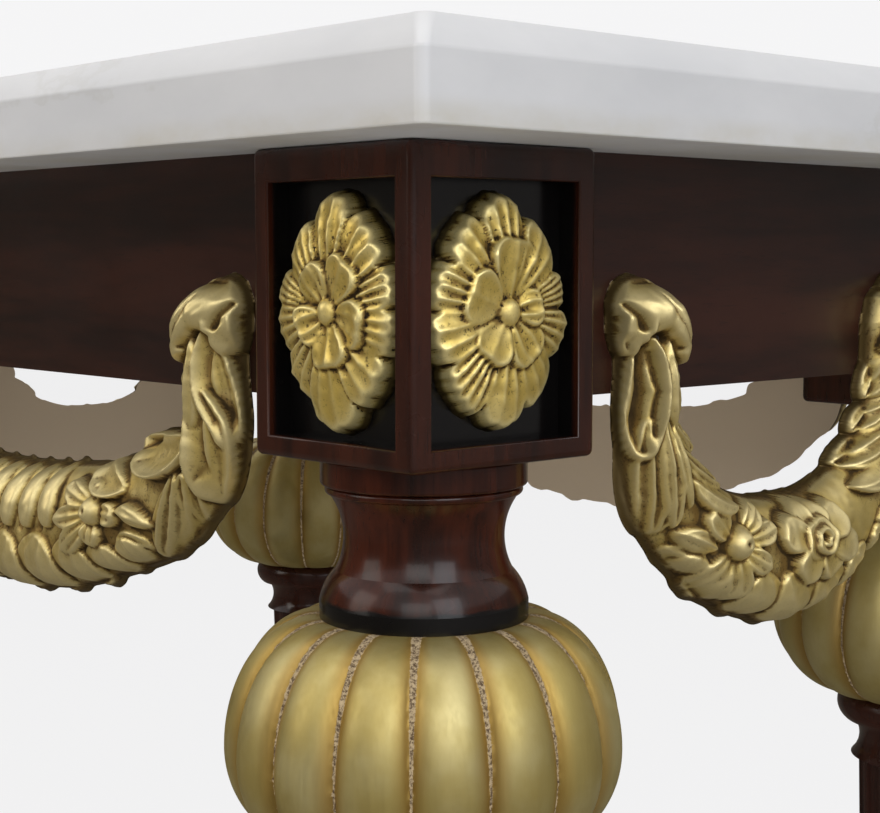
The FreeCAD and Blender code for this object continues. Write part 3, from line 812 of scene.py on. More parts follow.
def bulb_point(side, rise, centre):
    """A point of the lobe along +X: side runs from -1 to 1 across it and rise from -1 to 1 up it."""
    angle = rise * math.pi / 2
    if rise > 0:
        radius = BULB_SEAT + (bulb_radius - BULB_SEAT) * math.cos(angle)
        z = widest_z + (bulb_high.z - widest_z) * math.sin(angle)
    else:
        radius = COLLAR_RADIUS + (bulb_radius - COLLAR_RADIUS) * math.cos(angle)
        z = widest_z + (widest_z - bulb_low.z) * math.sin(angle)
    half_pitch = radius * math.pi / LOBES
    groove_half = GROOVE_HALF_LOW + (GROOVE_HALF_TOP - GROOVE_HALF_LOW) * max(rise, 0.0)
    lobe_share = 1 - groove_half / half_pitch
    grid_share = 1 - 2 * GROOVE_COLUMNS / LOBE_COLUMNS
    if abs(side) <= grid_share:
        across = side / grid_share
        edge = LOBE_EDGE * abs(across)
        share = across * lobe_share
    else:
        past = (abs(side) - grid_share) / (1 - grid_share)
        across = 1.0
        edge = LOBE_EDGE + (1 - LOBE_EDGE) * min(1.0, GROOVE_RUN * past)
        share = math.copysign(lobe_share + past * (1 - lobe_share), side)
    fall = (1 - math.sqrt(1 - (LOBE_ROUND * across) ** 2)) / (1 - math.sqrt(1 - LOBE_ROUND**2))
    depth = LOBE_DEPTH * (END_DEPTH + (1 - END_DEPTH) * math.cos(angle) ** 0.7)
    reach = radius - depth * fall
    turn = share * math.pi / LOBES
    point = Vector((reach * math.cos(turn), reach * math.sin(turn), z))
    if grid_share < abs(side) < SEAM:
        reach += GRIT_HEIGHT * noise.noise(point * GRIT_SCALE + centre * GRIT_SHIFT)
        point = Vector((reach * math.cos(turn), reach * math.sin(turn), z))
    return point, edge


def make_bulb(name):
    """One lobe as a grid, spun into a ring of lobes and closed at both ends."""
    low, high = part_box(name)
    centre = Vector(((low.x + high.x) / 2, (low.y + high.y) / 2, 0.0))
    ring = bmesh.new()
    edge_layer = ring.verts.layers.float.new("edge")
    bmesh.ops.create_grid(ring, x_segments=LOBE_COLUMNS, y_segments=LOBE_ROWS, size=1.0)
    for vert in ring.verts:
        vert.co, vert[edge_layer] = bulb_point(vert.co.x, vert.co.y, centre)
    half_pitch = Matrix.Rotation(math.pi / LOBES, 3, "Z")
    bmesh.ops.rotate(ring, cent=(0, 0, 0), matrix=half_pitch, verts=ring.verts)
    whole = ring.verts[:] + ring.edges[:] + ring.faces[:]
    copies = LOBES - 1
    bmesh.ops.spin(
        ring, geom=whole, cent=(0, 0, 0), axis=(0, 0, 1),
        angle=math.tau * copies / LOBES, steps=copies, use_duplicate=True,
    )
    bmesh.ops.remove_doubles(ring, verts=ring.verts, dist=WELD)
    rims = [edge for edge in ring.edges if edge.is_boundary]
    bmesh.ops.holes_fill(ring, edges=rims, sides=0)
    bmesh.ops.translate(ring, vec=centre, verts=ring.verts)
    return to_mesh(ring, name)


for corner in corner_names:
    name = "leg_bulb_" + corner
    bulb_piece = place_piece(name, make_bulb(name), bulb_gilt)
print("bulb:", len(bulb_piece.data.polygons), "faces")

# %% [markdown]
# ## Carving
# A carver first shapes a plain swelling ground and then cuts the leaves on it. This could be sculpted with
# brushes, but a lesson needs steps that can be repeated. Ornament on a board has hardly any undercut, so
# it can be kept as a height over each point of a sheet. Every leaf raises the heights inside its outline,
# and at the end a grid takes the heights and is closed behind. Arrays make this quick enough to carve in
# steps of half a millimetre. All lengths of the carvings are in millimetres.

# %% Helpers for carving
LEAF_SHOULDER = 1.6
LEAF_WALL = 4.0
CUP_RIM = 0.84
OUTLINE_ROUNDS = 12


def rise_along(rise, v):
    """A smooth height through three values, at the root, the middle and the tip."""
    return rise[0] * (1 - v) * (1 - 2 * v) + rise[1] * 4 * v * (1 - v) + rise[2] * v * (2 * v - 1)


def rim_share(far):
    """0 in the middle of a cup, 1 on its rim and 0 again at its outer edge."""
    inside = (np.clip(far, 0.0, CUP_RIM) / CUP_RIM) ** 2
    return inside - (np.clip(far - CUP_RIM, 0.0, 1.0) / (1 - CUP_RIM)) ** 1.3


def hollow_share(turn):
    """A row of gouged hollows with sharp ridges between them; each whole turn is one hollow."""
    return 1 - (2 * (turn - np.floor(turn)) - 1) ** 2


def blurred(values, rounds):
    """Average each height with its neighbours, a number of times."""
    for _ in range(rounds):
        wide = np.pad(values, 1, mode="edge")
        values = (wide[1:-1, 1:-1] + wide[2:, 1:-1] + wide[:-2, 1:-1] + wide[1:-1, 2:] + wide[1:-1, :-2]) / 5
    return values


def smooth_outline(edges):
    """Take the grid's steps out of the outline: points move halfway to the middle of their neighbours."""
    beside = {}
    for edge in edges:
        for vert in edge.verts:
            beside.setdefault(vert, []).append(edge.other_vert(vert))
    for _ in range(OUTLINE_ROUNDS):
        moved = {}
        for vert, near in beside.items():
            middle = sum((other.co for other in near), Vector()) / len(near)
            moved[vert] = (vert.co + middle) / 2
        for vert, place in moved.items():
            vert.co = place


def shoulder(edge):
    """How far a rounded edge falls below the leaf, by the distance from it."""
    return LEAF_WALL * (1 - np.clip(edge / LEAF_SHOULDER, 0.0, 1.0)) ** 2


print("carving helpers ready")

# %% A sheet to carve on
LEAF_POINT = 0.001
LEAF_END = 0.06
CUP_FROM = 0.6
DOME_SUNK = 1.0
ROSE_TURNS = 2.9
ROSE_LIP = 2.4
ROSE_FOOT = 1.5
BUD_DEPTH, BUD_WIDTH = 5.0, 0.15
CUT_FLOOR = 1.5
ROUGH_FROM = 1.0
GRAIN_ROUNDS = 12


class Carving:
    """Heights in millimetres over a sheet of points; a and b are the points' two coordinates."""

    def __init__(self, a, b, ground, shelf):
        self.a = a
        self.b = b
        self.ground = np.maximum(ground, shelf)
        self.height = ground.copy()

    def raise_to(self, inside, heights):
        """Lift the sheet to the new heights where they stand above it."""
        self.height = np.where(inside, np.maximum(self.height, heights), self.height)

    def leaf(
        self, root, tip, width, rise, bow=0.0, belly=1.0, blunt=0.6, crown=0.0, cup=0.0, lean=0.0, flutes=None
    ):
        """One leaf: rise is its height at root, middle and tip, and flutes their number and depth."""
        along = np.subtract(tip, root)
        length = np.hypot(*along)
        from_root = self.a - root[0], self.b - root[1]
        v = (from_root[0] * along[0] + from_root[1] * along[1]) / length**2
        aside = (from_root[1] * along[0] - from_root[0] * along[1]) / length
        within = np.clip(v, LEAF_POINT, 1 - LEAF_POINT)
        half = width / 2 * np.sin(np.pi * within**belly) ** blunt
        w = (aside - bow * np.sin(np.pi * within)) / half
        edge = np.minimum((1 - np.abs(w)) * half, np.minimum(v, 1 - v) * length)
        swell = np.sqrt(np.sin(np.pi * np.clip(v, LEAF_END, 1 - LEAF_END)))
        lift = rise_along(rise, v) + swell * (crown * (1 - w * w) + lean * w)
        lift += swell * cup * rim_share(np.maximum(np.abs(w), (v - CUP_FROM) / (1 - CUP_FROM)))
        if flutes:
            number, depth = flutes
            lift -= depth * swell * hollow_share((w + 1) / 2 * number)
        self.raise_to(edge > 0, self.ground + lift - shoulder(edge))

    def dome(self, centre, radii, rise):
        """A round button or berry that stands on the ground."""
        share = ((self.a - centre[0]) / radii[0]) ** 2 + ((self.b - centre[1]) / radii[1]) ** 2
        lift = rise * np.sqrt(np.clip(1 - share, 0.0, 1.0))
        self.raise_to(share < 1, self.ground + lift - DOME_SUNK)

    def rose(self, centre, radii, rise):
        """Petals wound in a spiral round a hole, each with a rolled lip."""
        off = (self.a - centre[0]) / radii[0], (self.b - centre[1]) / radii[1]
        angle = np.arctan2(off[1], off[0])
        share = np.hypot(*off) / (1 + 0.06 * np.cos(5 * angle))
        uneven = 0.12 * np.sin(2 * angle + 1) + 0.05 * np.sin(3 * angle)
        turn = ROSE_TURNS * share + angle / (2 * np.pi) + uneven
        lip = rim_share(turn - np.floor(turn))
        bud_hole = BUD_DEPTH * np.exp(-((share / BUD_WIDTH) ** 2))
        crown = rise * np.clip(1 - share**2, 0.0, 1.0) ** 0.7
        lift = ROSE_FOOT + crown + ROSE_LIP * lip - bud_hole
        edge = (1 - share) * min(radii)
        self.raise_to(share < 1, self.ground + lift - shoulder(edge))

    def gouge(self, points, width, depth):
        """A cut along a line of points."""
        nearest = np.full(self.a.shape, np.inf)
        for (a0, b0), (a1, b1) in zip(points, points[1:]):
            run = (a1 - a0) ** 2 + (b1 - b0) ** 2
            share = np.clip(((self.a - a0) * (a1 - a0) + (self.b - b0) * (b1 - b0)) / run, 0.0, 1.0)
            away = np.hypot(self.a - a0 - share * (a1 - a0), self.b - b0 - share * (b1 - b0))
            nearest = np.minimum(nearest, away)
        cut = self.height - depth * np.exp(-((nearest / width) ** 2))
        self.height = np.where(self.height > CUT_FLOOR, np.maximum(cut, CUT_FLOOR), self.height)

    def roughen(self, seed, amount):
        """The small unevenness of hand work under gesso."""
        grain = blurred(np.random.default_rng(seed).normal(0.0, 1.0, self.a.shape), GRAIN_ROUNDS)
        rough = self.height + amount * grain / grain.std()
        self.height = np.where(self.height > ROUGH_FROM, rough, self.height)


print("carving sheet ready")

# %% From heights to a mesh
BOARD = 0.02
WALL_CLEAN = 1.8


def point_marks(carving, sizes, shaded_foot):
    """What each point carries: how hollow it is, how proud, and how near the board."""
    hollow = np.zeros(carving.a.shape)
    ridge = np.zeros(carving.a.shape)
    # Hollow feeds brown toning and painted shade in the gilding, and ridge a paler gold with a painted
    # highlight.
    for rounds, full in sizes:
        lift = (blurred(carving.height, rounds) - carving.height) / full
        hollow = np.maximum(hollow, lift)
        ridge = np.maximum(ridge, -lift)
    hollow *= np.clip((carving.height - WALL_CLEAN) / WALL_CLEAN, 0.0, 1.0)
    # How near the board a point lies sets the dark band of painted shade on the walls and the bare wood
    # behind.
    near_board = (shaded_foot - carving.height) / shaded_foot
    return {"hollow": hollow, "ridge": ridge, "near_board": near_board}


def carved_mesh(carving, name, place, sizes, shaded_foot):
    """Bend a grid to the heights, keep what stands on the board and close it behind."""
    carving.height = blurred(carving.height, 1)
    carving.height[carving.height < BOARD] = 0.0
    marks = point_marks(carving, sizes, shaded_foot)
    shape = bmesh.new()
    layers = [shape.verts.layers.float.new(label) for label in marks]
    rows, columns = carving.a.shape
    bmesh.ops.create_grid(shape, x_segments=columns - 1, y_segments=rows - 1, size=1.0)
    points = place(carving.a, carving.b, carving.height).reshape(-1, 3).tolist()
    values = np.stack([np.clip(mark, 0.0, 1.0).ravel() for mark in marks.values()], axis=-1).tolist()
    raised = (carving.height > 0).ravel().tolist()
    for vert, point, stands, carried in zip(shape.verts, points, raised, values):
        vert.co = point
        vert.tag = stands
        for layer, value in zip(layers, carried):
            vert[layer] = value
    flat = [face for face in shape.faces if not any(vert.tag for vert in face.verts)]
    bmesh.ops.delete(shape, geom=flat, context="FACES")
    outline = [edge for edge in shape.edges if edge.is_boundary]
    smooth_outline(outline)
    bmesh.ops.holes_fill(shape, edges=outline, sides=0)
    return to_mesh(shape, name)


def turned_copy(mesh, degrees, name):
    """The same carving on another side of the table."""
    copy = mesh.copy()
    copy.name = name
    copy.transform(Matrix.Rotation(math.radians(degrees), 4, "Z"))
    return copy


print("carving tools ready")

# %% [markdown]
# ## Flowers in the panels
# Each sunk panel holds a pointed oval flower: a low dome with a ring of fan-shaped leaves with gouged
# ribs, five cupped petals on top and a round button. An array of equal leaves would look stamped, so seeded
# dice give each leaf its own size, lean and ribs. Two flowers are carved in this way and repeated.

# %% Carve the flowers
FLOWER_STEP = 0.5
FLOWER_RIM = 5.6
FLOWER_CROWN = 9.4
FLOWER_SPREAD = 1.07
FLOWER_POINT = 1.6
FLOWER_MARGIN = 1.5
FLOWER_SHADED_FOOT = 5.5
FLOWER_RELIEF = ((3, 0.28), (40, 1.5))
FLOWER_PETALS = 5
RING_NEAR = 0.22
RING_NOTCH = 0.11
RIB_NOTCH = 0.03
FAN_ANGLES = (-18, 18, 56, 90, 126, 162, 198, 234, 270, 304)


def polar(distance, angle):
    """A point at that distance from the flower's middle; the angle is counted from the top."""
    return distance * math.sin(angle), distance * math.cos(angle)


class PanelFlower:
    """The flower on the front panel of the front right block: its oval and its place."""

    def __init__(self, node):
        low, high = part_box(node)
        self.middle = (low + high) / 2
        self.back = high.y
        self.half_width = (high.x - low.x) / 2 / MM * FLOWER_SPREAD
        self.half_height = (high.z - low.z) / 2 / MM
        self.thick = (high.y - low.y) / MM

    def reach(self, angle):
        """Distance to the pointed oval's edge in that direction."""
        x = np.abs(np.sin(angle)) / self.half_width
        z = np.abs(np.cos(angle)) / self.half_height
        return (x**FLOWER_POINT + z**FLOWER_POINT) ** (-1 / FLOWER_POINT)

    def place(self, x, z, height):
        """Points of the carving on the front panel."""
        points = self.middle.x + x * MM, self.back - height * MM, self.middle.z + z * MM
        return np.stack(points, axis=-1)


def carve_ring(carving, form, dice):
    """The ring of fan-shaped leaves, with ribs of their own depth and a step from leaf to leaf."""
    edges = np.array([degrees + dice.uniform(-5, 5) for degrees in FAN_ANGLES])
    ends = np.append(edges[1:], edges[0] + 360)
    far = np.array([dice.uniform(0.96, 1.0) for _ in edges])
    lean = np.array([dice.choice((-1, 1)) * dice.uniform(0.5, 1.2) for _ in edges])
    ribs = np.array([dice.choice((3, 4, 5)) for _ in edges])
    cut = np.array([dice.uniform(0.7, 1.5) for _ in edges])
    angle = np.arctan2(carving.a, carving.b)
    degrees = edges[0] + np.mod(np.degrees(angle) - edges[0], 360)
    leaf = np.searchsorted(edges, degrees, side="right") - 1
    w = 2 * (degrees - edges[leaf]) / (ends[leaf] - edges[leaf]) - 1
    rib = hollow_share((w + 1) / 2 * ribs[leaf])
    outer = form.reach(angle) * far[leaf] * (1 - RING_NOTCH * np.abs(w) ** 5 - RIB_NOTCH * (1 - rib))
    distance = np.hypot(carving.a, carving.b)
    v = np.clip((distance / outer - RING_NEAR) / (1 - RING_NEAR), 0.0, 1.0)
    lift = rise_along((-1.0, 1.6, 0.4), v) + np.sqrt(v) * (lean[leaf] * w + 0.9 * (1 - w * w))
    lift -= cut[leaf] * np.minimum(1.0, 3 * v) * rib
    carving.raise_to(distance < outer, carving.ground + lift - shoulder(outer - distance))


def make_flower(node, seed):
    """A pointed oval flower: ring, petals and button."""
    dice = random.Random(seed)
    form = PanelFlower(node)
    wide = form.half_width + FLOWER_MARGIN
    tall = form.half_height + FLOWER_MARGIN
    x = np.arange(-wide, wide, FLOWER_STEP)
    z = np.arange(-tall, tall, FLOWER_STEP)
    x, z = np.meshgrid(x, z, indexing="ij")
    share = np.hypot(x, z) / form.reach(np.arctan2(x, z))
    dome = FLOWER_RIM + (FLOWER_CROWN - FLOWER_RIM) * np.clip(1 - share**2, 0.0, 1.0)
    carving = Carving(x, z, np.zeros(x.shape), dome)
    carve_ring(carving, form, dice)
    pitch = 360 / FLOWER_PETALS
    first = dice.uniform(0, pitch)
    for step in range(FLOWER_PETALS):
        angle = math.radians(first + pitch * step + dice.uniform(-8, 8))
        far = float(form.reach(angle)) * dice.uniform(0.46, 0.68)
        carving.leaf(
            polar(1.0, angle), polar(far, angle), far * dice.uniform(0.85, 1.1),
            (-0.5, 1.8, 3.6 + dice.uniform(-1.0, 1.0)), belly=1.9, blunt=0.42, cup=0.9,
            lean=dice.choice((-1, 1)) * 1.1, flutes=(dice.choice((2, 3)), dice.uniform(0.7, 1.4)),
        )
    carving.dome((0, 0), (4.2, 4.6), form.thick - FLOWER_CROWN + 0.6)
    carving.roughen(seed, 0.13)
    return carved_mesh(carving, node, form.place, FLOWER_RELIEF, FLOWER_SHADED_FOOT)


front_flower = make_flower("rosette_front_right_front", 4)
side_flower = make_flower("rosette_front_right_front", 11)
turn_leg(side_flower, 1, leg_x, leg_y)
corner_faces = {
    "front_right": ("front", "right"),
    "back_right": ("right", "back"),
    "back_left": ("back", "left"),
    "front_left": ("left", "front"),
}
for index, corner in enumerate(corner_names):
    for face, carved in zip(corner_faces[corner], (front_flower, side_flower)):
        name = "rosette_" + corner + "_" + face
        place_piece(name, to_corner(carved, index), flower_gilt)
print("flower:", len(front_flower.polygons), "faces")

# %% [markdown]
# ## Swags
# A swag hangs from two hooded caps and sags into a roll of leaves with flowers at the bottom.
# A flat carving could be bent by a curve modifier, but that would stretch its leaves. They are laid out
# along the swag's own curve instead: one coordinate runs along the garland, one across it and one out from
# the board, so a leaf follows the bend without any sums of its own.

# %% Path of a swag
SWAG_TOP = 43.0
ARM_GAP = 20.0
ARM_WIDTH = 28.0
ARM_DEPTH = 18.0
MIDDLE_DEPTH = 24.0
LEAF_RISE = 5.0
OUTER_SHELF, INNER_SHELF = 1.5, 3.0
ROUNDNESS = 2.1
ARM_SLANT = 1.35
END_ROUND = 12.0
SWAG_STEP = 0.52
SWAG_COLUMNS = 108
SWAG_MARGIN = 7.0
SWAG_PAST = 4.0
SIDE_OUTER = (
    (0, 11), (6, 14), (16, 13.5), (23, 9.5), (45, 9.5), (55, 11.5), (68, 14.5), (80, 15.5),
    (98, 16.5), (110, 18.5), (128, 20), (147, 23.5),
)
SIDE_INNER = ((0, 3), (2, 5), (7, 12), (17, 15), (45, 16), (60, 17), (80, 19.5), (100, 21), (147, 24))
FRONT_OUTER = (
    (0, 11), (6, 14), (16, 13.5), (23, 10.5), (45, 11.5), (54, 13.5), (63, 15), (76, 14.5),
    (90, 16.5), (100, 18), (120, 18.5), (140, 20), (161, 22.5), (183, 24), (211, 25),
)
FRONT_INNER = (
    (0, 2), (6, 8), (12, 14), (20, 16), (45, 16.5), (73, 20), (100, 22), (138, 23.5), (158, 25), (211, 25.5),
)
front_face = -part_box("frieze_front")[0].y
side_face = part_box("frieze_right")[1].x


class Garland:
    """The curve of one swag and its widths, in millimetres along, across and out from the board."""

    def __init__(self, length, bend, drop, hand, face, outer, inner):
        self.half_span = length / 2 - (block_width / MM + ARM_GAP + ARM_WIDTH / 2)
        self.bend = bend
        self.sag = drop - bend
        self.hand = hand
        self.face = face
        self.outer = outer
        self.inner = inner
        self.turns = np.linspace(0.0, math.pi, 721)
        steps = np.diff(self.half_span * np.cos(self.turns)), np.diff(self.sag * np.sin(self.turns))
        self.arc = np.concatenate(([0.0], np.cumsum(np.hypot(*steps))))
        self.arm = bend - SWAG_TOP
        self.length = 2 * self.arm + self.arc[-1]

    def turn(self, s):
        """Angle round the bend: 0 on the first arm and half a turn on the second."""
        return np.interp(s - self.arm, self.arc, self.turns)

    def place(self, s, u, height):
        """Points of the carving: u is positive on the outer side of the curve."""
        turn = self.turn(s)
        along_x = -self.half_span * np.sin(turn)
        along_z = self.sag * np.cos(turn)
        size = np.hypot(along_x, along_z)
        on_arm = np.maximum(self.arm - s, 0.0) + np.maximum(s - self.length + self.arm, 0.0)
        x = self.half_span * np.cos(turn) + u * along_z / size
        below = self.bend + self.sag * np.sin(turn) - on_arm - u * along_x / size
        return np.stack((self.hand * x * MM, -self.face - height * MM, slab_under - below * MM), axis=-1)

    def half(self, s, widths):
        """Width of the roll on one side; it is the same from both ends."""
        return np.interp(np.minimum(s, self.length - s), *zip(*widths))

    def sheet(self):
        """A carving sheet over the whole swag with its plain rounded roll."""
        s = np.arange(-SWAG_PAST, self.length + SWAG_PAST, SWAG_STEP)
        outer = self.half(s, self.outer)[:, None]
        inner = self.half(s, self.inner)[:, None]
        share = np.linspace(0.0, 1.0, SWAG_COLUMNS)[None, :]
        u = -(inner + SWAG_MARGIN) + share * (inner + outer + 2 * SWAG_MARGIN)
        s = np.repeat(s[:, None], SWAG_COLUMNS, axis=1)
        deep = ARM_DEPTH + np.sin(self.turn(s)) ** 2 * (MIDDLE_DEPTH - ARM_DEPTH) - LEAF_RISE
        far = np.abs(u) / np.where(u > 0, outer, inner)
        slanted = ARM_SLANT + (ROUNDNESS - ARM_SLANT) * np.sin(self.turn(s)) ** 2
        power = np.where(u > 0, slanted, ROUNDNESS)
        roll = deep * np.clip(1 - far**power, 0.0, 1.0) ** (1 / power)
        near_end = np.clip(np.minimum(s, self.length - s) / END_ROUND, 0.0, 1.0)
        roll *= np.sqrt(1 - (1 - near_end) ** 2)
        return Carving(s, u, roll, np.maximum(roll, np.where(u > 0, OUTER_SHELF, INNER_SHELF)))


front_path = Garland(
    length=2 * block_high.x / MM, bend=90.0, drop=142.0, hand=1, face=front_face,
    outer=FRONT_OUTER, inner=FRONT_INNER,
)
side_path = Garland(
    length=-2 * block_low.y / MM, bend=82.0, drop=145.5, hand=-1, face=side_face,
    outer=SIDE_OUTER, inner=SIDE_INNER,
)
print("swags run", round(front_path.length, 1), "and", round(side_path.length, 1), "mm")


# %% Carve the arms
def carve_cap(carving):
    """The hood at the top of an arm: a smooth dome, a lobe on its outer side, a tail on its inner one."""
    carving.leaf((-2.5, 4), (18, 2), 22, (2.5, 5.0, 2.0), blunt=0.5, crown=1.5)
    carving.leaf((3, 7), (25, 8.5), 9, (3.0, 4.6, 3.6), bow=1.0, blunt=0.45, cup=2.4)
    carving.leaf((2, -1), (28, -13), 9, (4.0, 6.4, 5.0), bow=2.5, belly=0.8, crown=1.4, lean=-1.8)
    carving.gouge(((26, 4), (18, 5), (16.5, 1), (22, -6)), 1.2, 3.4)
    carving.gouge(((7, 12), (11, 9), (15, 7.5)), 0.9, 2.4)
    carving.gouge(((4, 1), (12, -3), (20, -9)), 0.6, 1.0)


def carve_side_arm(carving):
    """Leaves of one arm of a side swag, from under the cap to the bottom roll."""
    carve_cap(carving)
    carving.leaf((17, 4.5), (58, 8), 12, (1.5, -0.6, 2.5), bow=-2.0, blunt=0.42, cup=6.0)
    carving.gouge(((21, 6), (36, 4.6), (54, 7.6)), 1.4, 3.2)
    carving.gouge(((23, 3.4), (36, 1.2), (50, 3.6)), 0.7, 1.6)
    carving.leaf((18, -2), (53, -6), 9, (2.0, 4.0, 1.5), crown=1.2, flutes=(2, 1.4))
    carving.leaf((26, -5), (51, -18), 11, (1.5, 3.6, 3.0), bow=-1.5, flutes=(3, 2.2))
    carving.leaf(
        (44, 3), (81, 14), 18, (1.0, 2.6, 1.5), bow=-3.0, belly=1.25, blunt=0.5, crown=0.8, flutes=(5, 2.4)
    )
    carving.leaf((44, -1), (82, 9), 11, (2.0, 4.6, 2.5), bow=-3.5, blunt=0.5, lean=1.0, flutes=(3, 2.0))
    carving.leaf((47, -4), (80, 1), 9, (2.0, 5.2, 2.0), bow=-2.5, lean=1.4, flutes=(2, 1.6))
    carving.leaf((48, -8), (73, -21), 11, (1.0, 3.4, 3.0), bow=-1.5, flutes=(3, 2.2))
    carving.leaf((57, -6), (98, -22), 12, (1.5, 4.4, 3.0), bow=-1.0, lean=1.0, flutes=(3, 2.2))
    carving.leaf((70, -5), (103, -15), 10, (2.0, 5.2, 3.5), bow=1.0, crown=1.2, lean=1.6, flutes=(2, 1.6))
    carving.leaf((99, 4), (82, 10), 9, (2.0, 5.0, 3.5), bow=1.0, flutes=(2, 1.8))
    carving.leaf((101, 9), (85, 14.5), 9, (2.0, 3.6, 2.5), flutes=(2, 2.0), lean=1.0)


def carve_front_arm(carving):
    """Leaves of one arm of a front swag."""
    carve_cap(carving)
    carving.leaf((15, 3.5), (54, 10.5), 12, (1.5, -0.6, 2.5), bow=-1.5, blunt=0.42, cup=6.0)
    carving.leaf((20, 5), (47, 9.5), 5, (1.0, 0.6, 0.5), bow=-1.0, blunt=0.5, cup=2.0)
    carving.leaf((18, -2), (58, -5), 10, (2.0, 4.0, 1.5), crown=1.2, flutes=(2, 1.4))
    carving.leaf((24, -5), (43, -19), 10, (1.5, 3.6, 3.0), bow=-1.5, flutes=(3, 2.0))
    carving.leaf((37, -7), (60, -20), 10, (1.5, 3.6, 3.0), bow=-1.5, flutes=(3, 2.0))
    carving.leaf((35, -1), (70, 13), 17, (1.0, -0.4, 2.5), bow=-2.0, blunt=0.42, cup=6.4)
    carving.leaf((40, 3), (64, 11.5), 7, (1.0, 0.6, 1.0), bow=-1.5, blunt=0.5, cup=2.4)
    carving.leaf((55, -5), (98, -24), 18, (2.0, 1.4, 4.0), bow=2.0, blunt=0.45, cup=6.0, lean=1.0)
    carving.leaf((64, 2), (79, 14.5), 10, (2.0, 3.2, 2.5), flutes=(3, 2.0))
    carving.leaf((67, 0), (91, 17), 12, (2.5, 4.0, 2.5), flutes=(3, 2.2))
    carving.leaf((69, -3), (105, 18), 13, (2.5, 4.8, 2.5), bow=1.0, flutes=(3, 2.4), lean=1.0)
    carving.leaf((111, -3), (93, 8.5), 9, (2.0, 5.4, 3.5), bow=1.5, crown=1.2, lean=1.6, flutes=(2, 1.6))
    carving.leaf((117, 6), (101, 14), 10, (1.5, 3.8, 2.5), flutes=(2, 2.0), lean=1.0)
    carving.leaf((104, -9), (128, -22), 14, (2.0, 2.2, 3.5), cup=4.6, lean=0.8)


print("cap and arms ready")


# %% Carve the flowers and the bottom roll
def carve_daisy(carving, centre, petals, button):
    """A flower of thick round petals about a button; petals are given as (along, across, breadth)."""
    for along, across, broad in petals:
        reach = Vector((along, across)) - Vector(centre)
        root = Vector(centre) + reach * 0.2
        tip = Vector(centre) + reach * 1.4
        carving.leaf(root, tip, broad, (0.0, 4.4, 4.0), belly=1.4, blunt=0.45, cup=1.8, flutes=(2, 1.4))
    carving.dome(centre, button, 8.5)
    carving.gouge((centre, (centre[0] + 0.5, centre[1])), 1.0, 2.0)


def carve_rose(carving, centre, petals):
    """A full-blown rose: wide outer petals, given by their tips (along, across), round a wound bud."""
    for along, across in petals:
        reach = Vector((along, across)) - Vector(centre)
        root = Vector(centre) + reach * 0.1
        tip = Vector(centre) + reach * 1.1
        carving.leaf(root, tip, 15, (3.6, 4.6, 4.6), belly=1.7, blunt=0.42, cup=1.4, lean=0.5)
    carving.rose(centre, (13.0, 9.5), 5.5)


def carve_folds(carving, path, folds):
    """Leaves over the lower edge of the roll; each is (root along, root across, tip along, width)."""
    for root_s, root_u, tip_s, width in folds:
        tip = (tip_s, float(path.half(tip_s, path.outer)) - 1.0)
        carving.leaf(
            (root_s, root_u), tip, width, (1.5, 3.2, 2.0),
            belly=1.3, blunt=0.42, crown=1.4, lean=1.8, flutes=(3, 0.7),
        )


SIDE_DAISY = ((91, -3, 12), (111.5, -15, 11), (120, -10.5, 10), (119, 1, 10), (114, 11, 11), (104, 13, 11))
SIDE_FOLDS = (
    (96, 8, 98, 14), (108, 8, 114, 18), (122, 3, 132, 20), (136, 2, 151, 22),
    (154, 5, 168, 22), (174, 5, 183, 20), (192, 6, 200, 16),
)
FRONT_DAISY = ((139, -14, 10), (143.5, -5, 10), (142, 4, 10), (129, 4, 10), (114, -2, 10), (121, -13, 10))
FRONT_FOLDS = ((113, 6, 114, 18), (126, 6, 131, 22), (143, 3, 153, 26), (165, 1, 178, 28), (189, 1, 204, 28))
SIDE_ROSE = ((132, -12), (143, -20.5), (158, -21), (173, -14), (174, -1), (160, 5), (142, 4))
FRONT_ROSE = ((109, -9), (119, -17), (134, -17), (145, -7), (143, 5), (129, 8), (114, 4))
REED_PITCH = 15.0
SWAG_SHADED_FOOT = 8.0
SWAG_RELIEF = ((5, 0.4), (22, 1.0), (80, 2.6), (220, 2.4))


def turn_round(carving, path):
    """Count along the swag from its other end."""
    carving.a = path.length - carving.a


def make_side_swag():
    """The shorter swag: daisy towards the near arm and a rose just past the middle."""
    path = side_path
    carving = path.sheet()
    for _ in range(2):
        carve_side_arm(carving)
        turn_round(carving, path)
    carve_folds(carving, path, SIDE_FOLDS)
    carve_daisy(carving, (106, -2.3), SIDE_DAISY, (6.0, 7.0))
    carve_rose(carving, (153.5, -9.0), SIDE_ROSE)
    carving.roughen(5, 0.12)
    return carved_mesh(carving, "swag_right", path.place, SWAG_RELIEF, SWAG_SHADED_FOOT)


def make_front_swag():
    """The longer swag: a daisy and a rose on the two sides of a reeded, bound middle."""
    path = front_path
    carving = path.sheet()
    for _ in range(2):
        carve_front_arm(carving)
        carve_folds(carving, path, FRONT_FOLDS)
        turn_round(carving, path)
    carve_daisy(carving, (125, -5.5), FRONT_DAISY, (6.2, 6.2))
    for step in range(-3, 5):
        s = path.length / 2 + REED_PITCH * (step - 0.5)
        carving.leaf((s, -26.5), (s + 1.0, -1), 11.5, (1.0, 2.4, 1.4), blunt=0.3, crown=2.2)
        carving.gouge(((s + 7.5, -25), (s + 8.5, -2)), 1.6, 2.6)
    turn_round(carving, path)
    carve_rose(carving, (127, -5), FRONT_ROSE)
    turn_round(carving, path)
    carving.roughen(6, 0.12)
    return carved_mesh(carving, "swag_front", path.place, SWAG_RELIEF, SWAG_SHADED_FOOT)


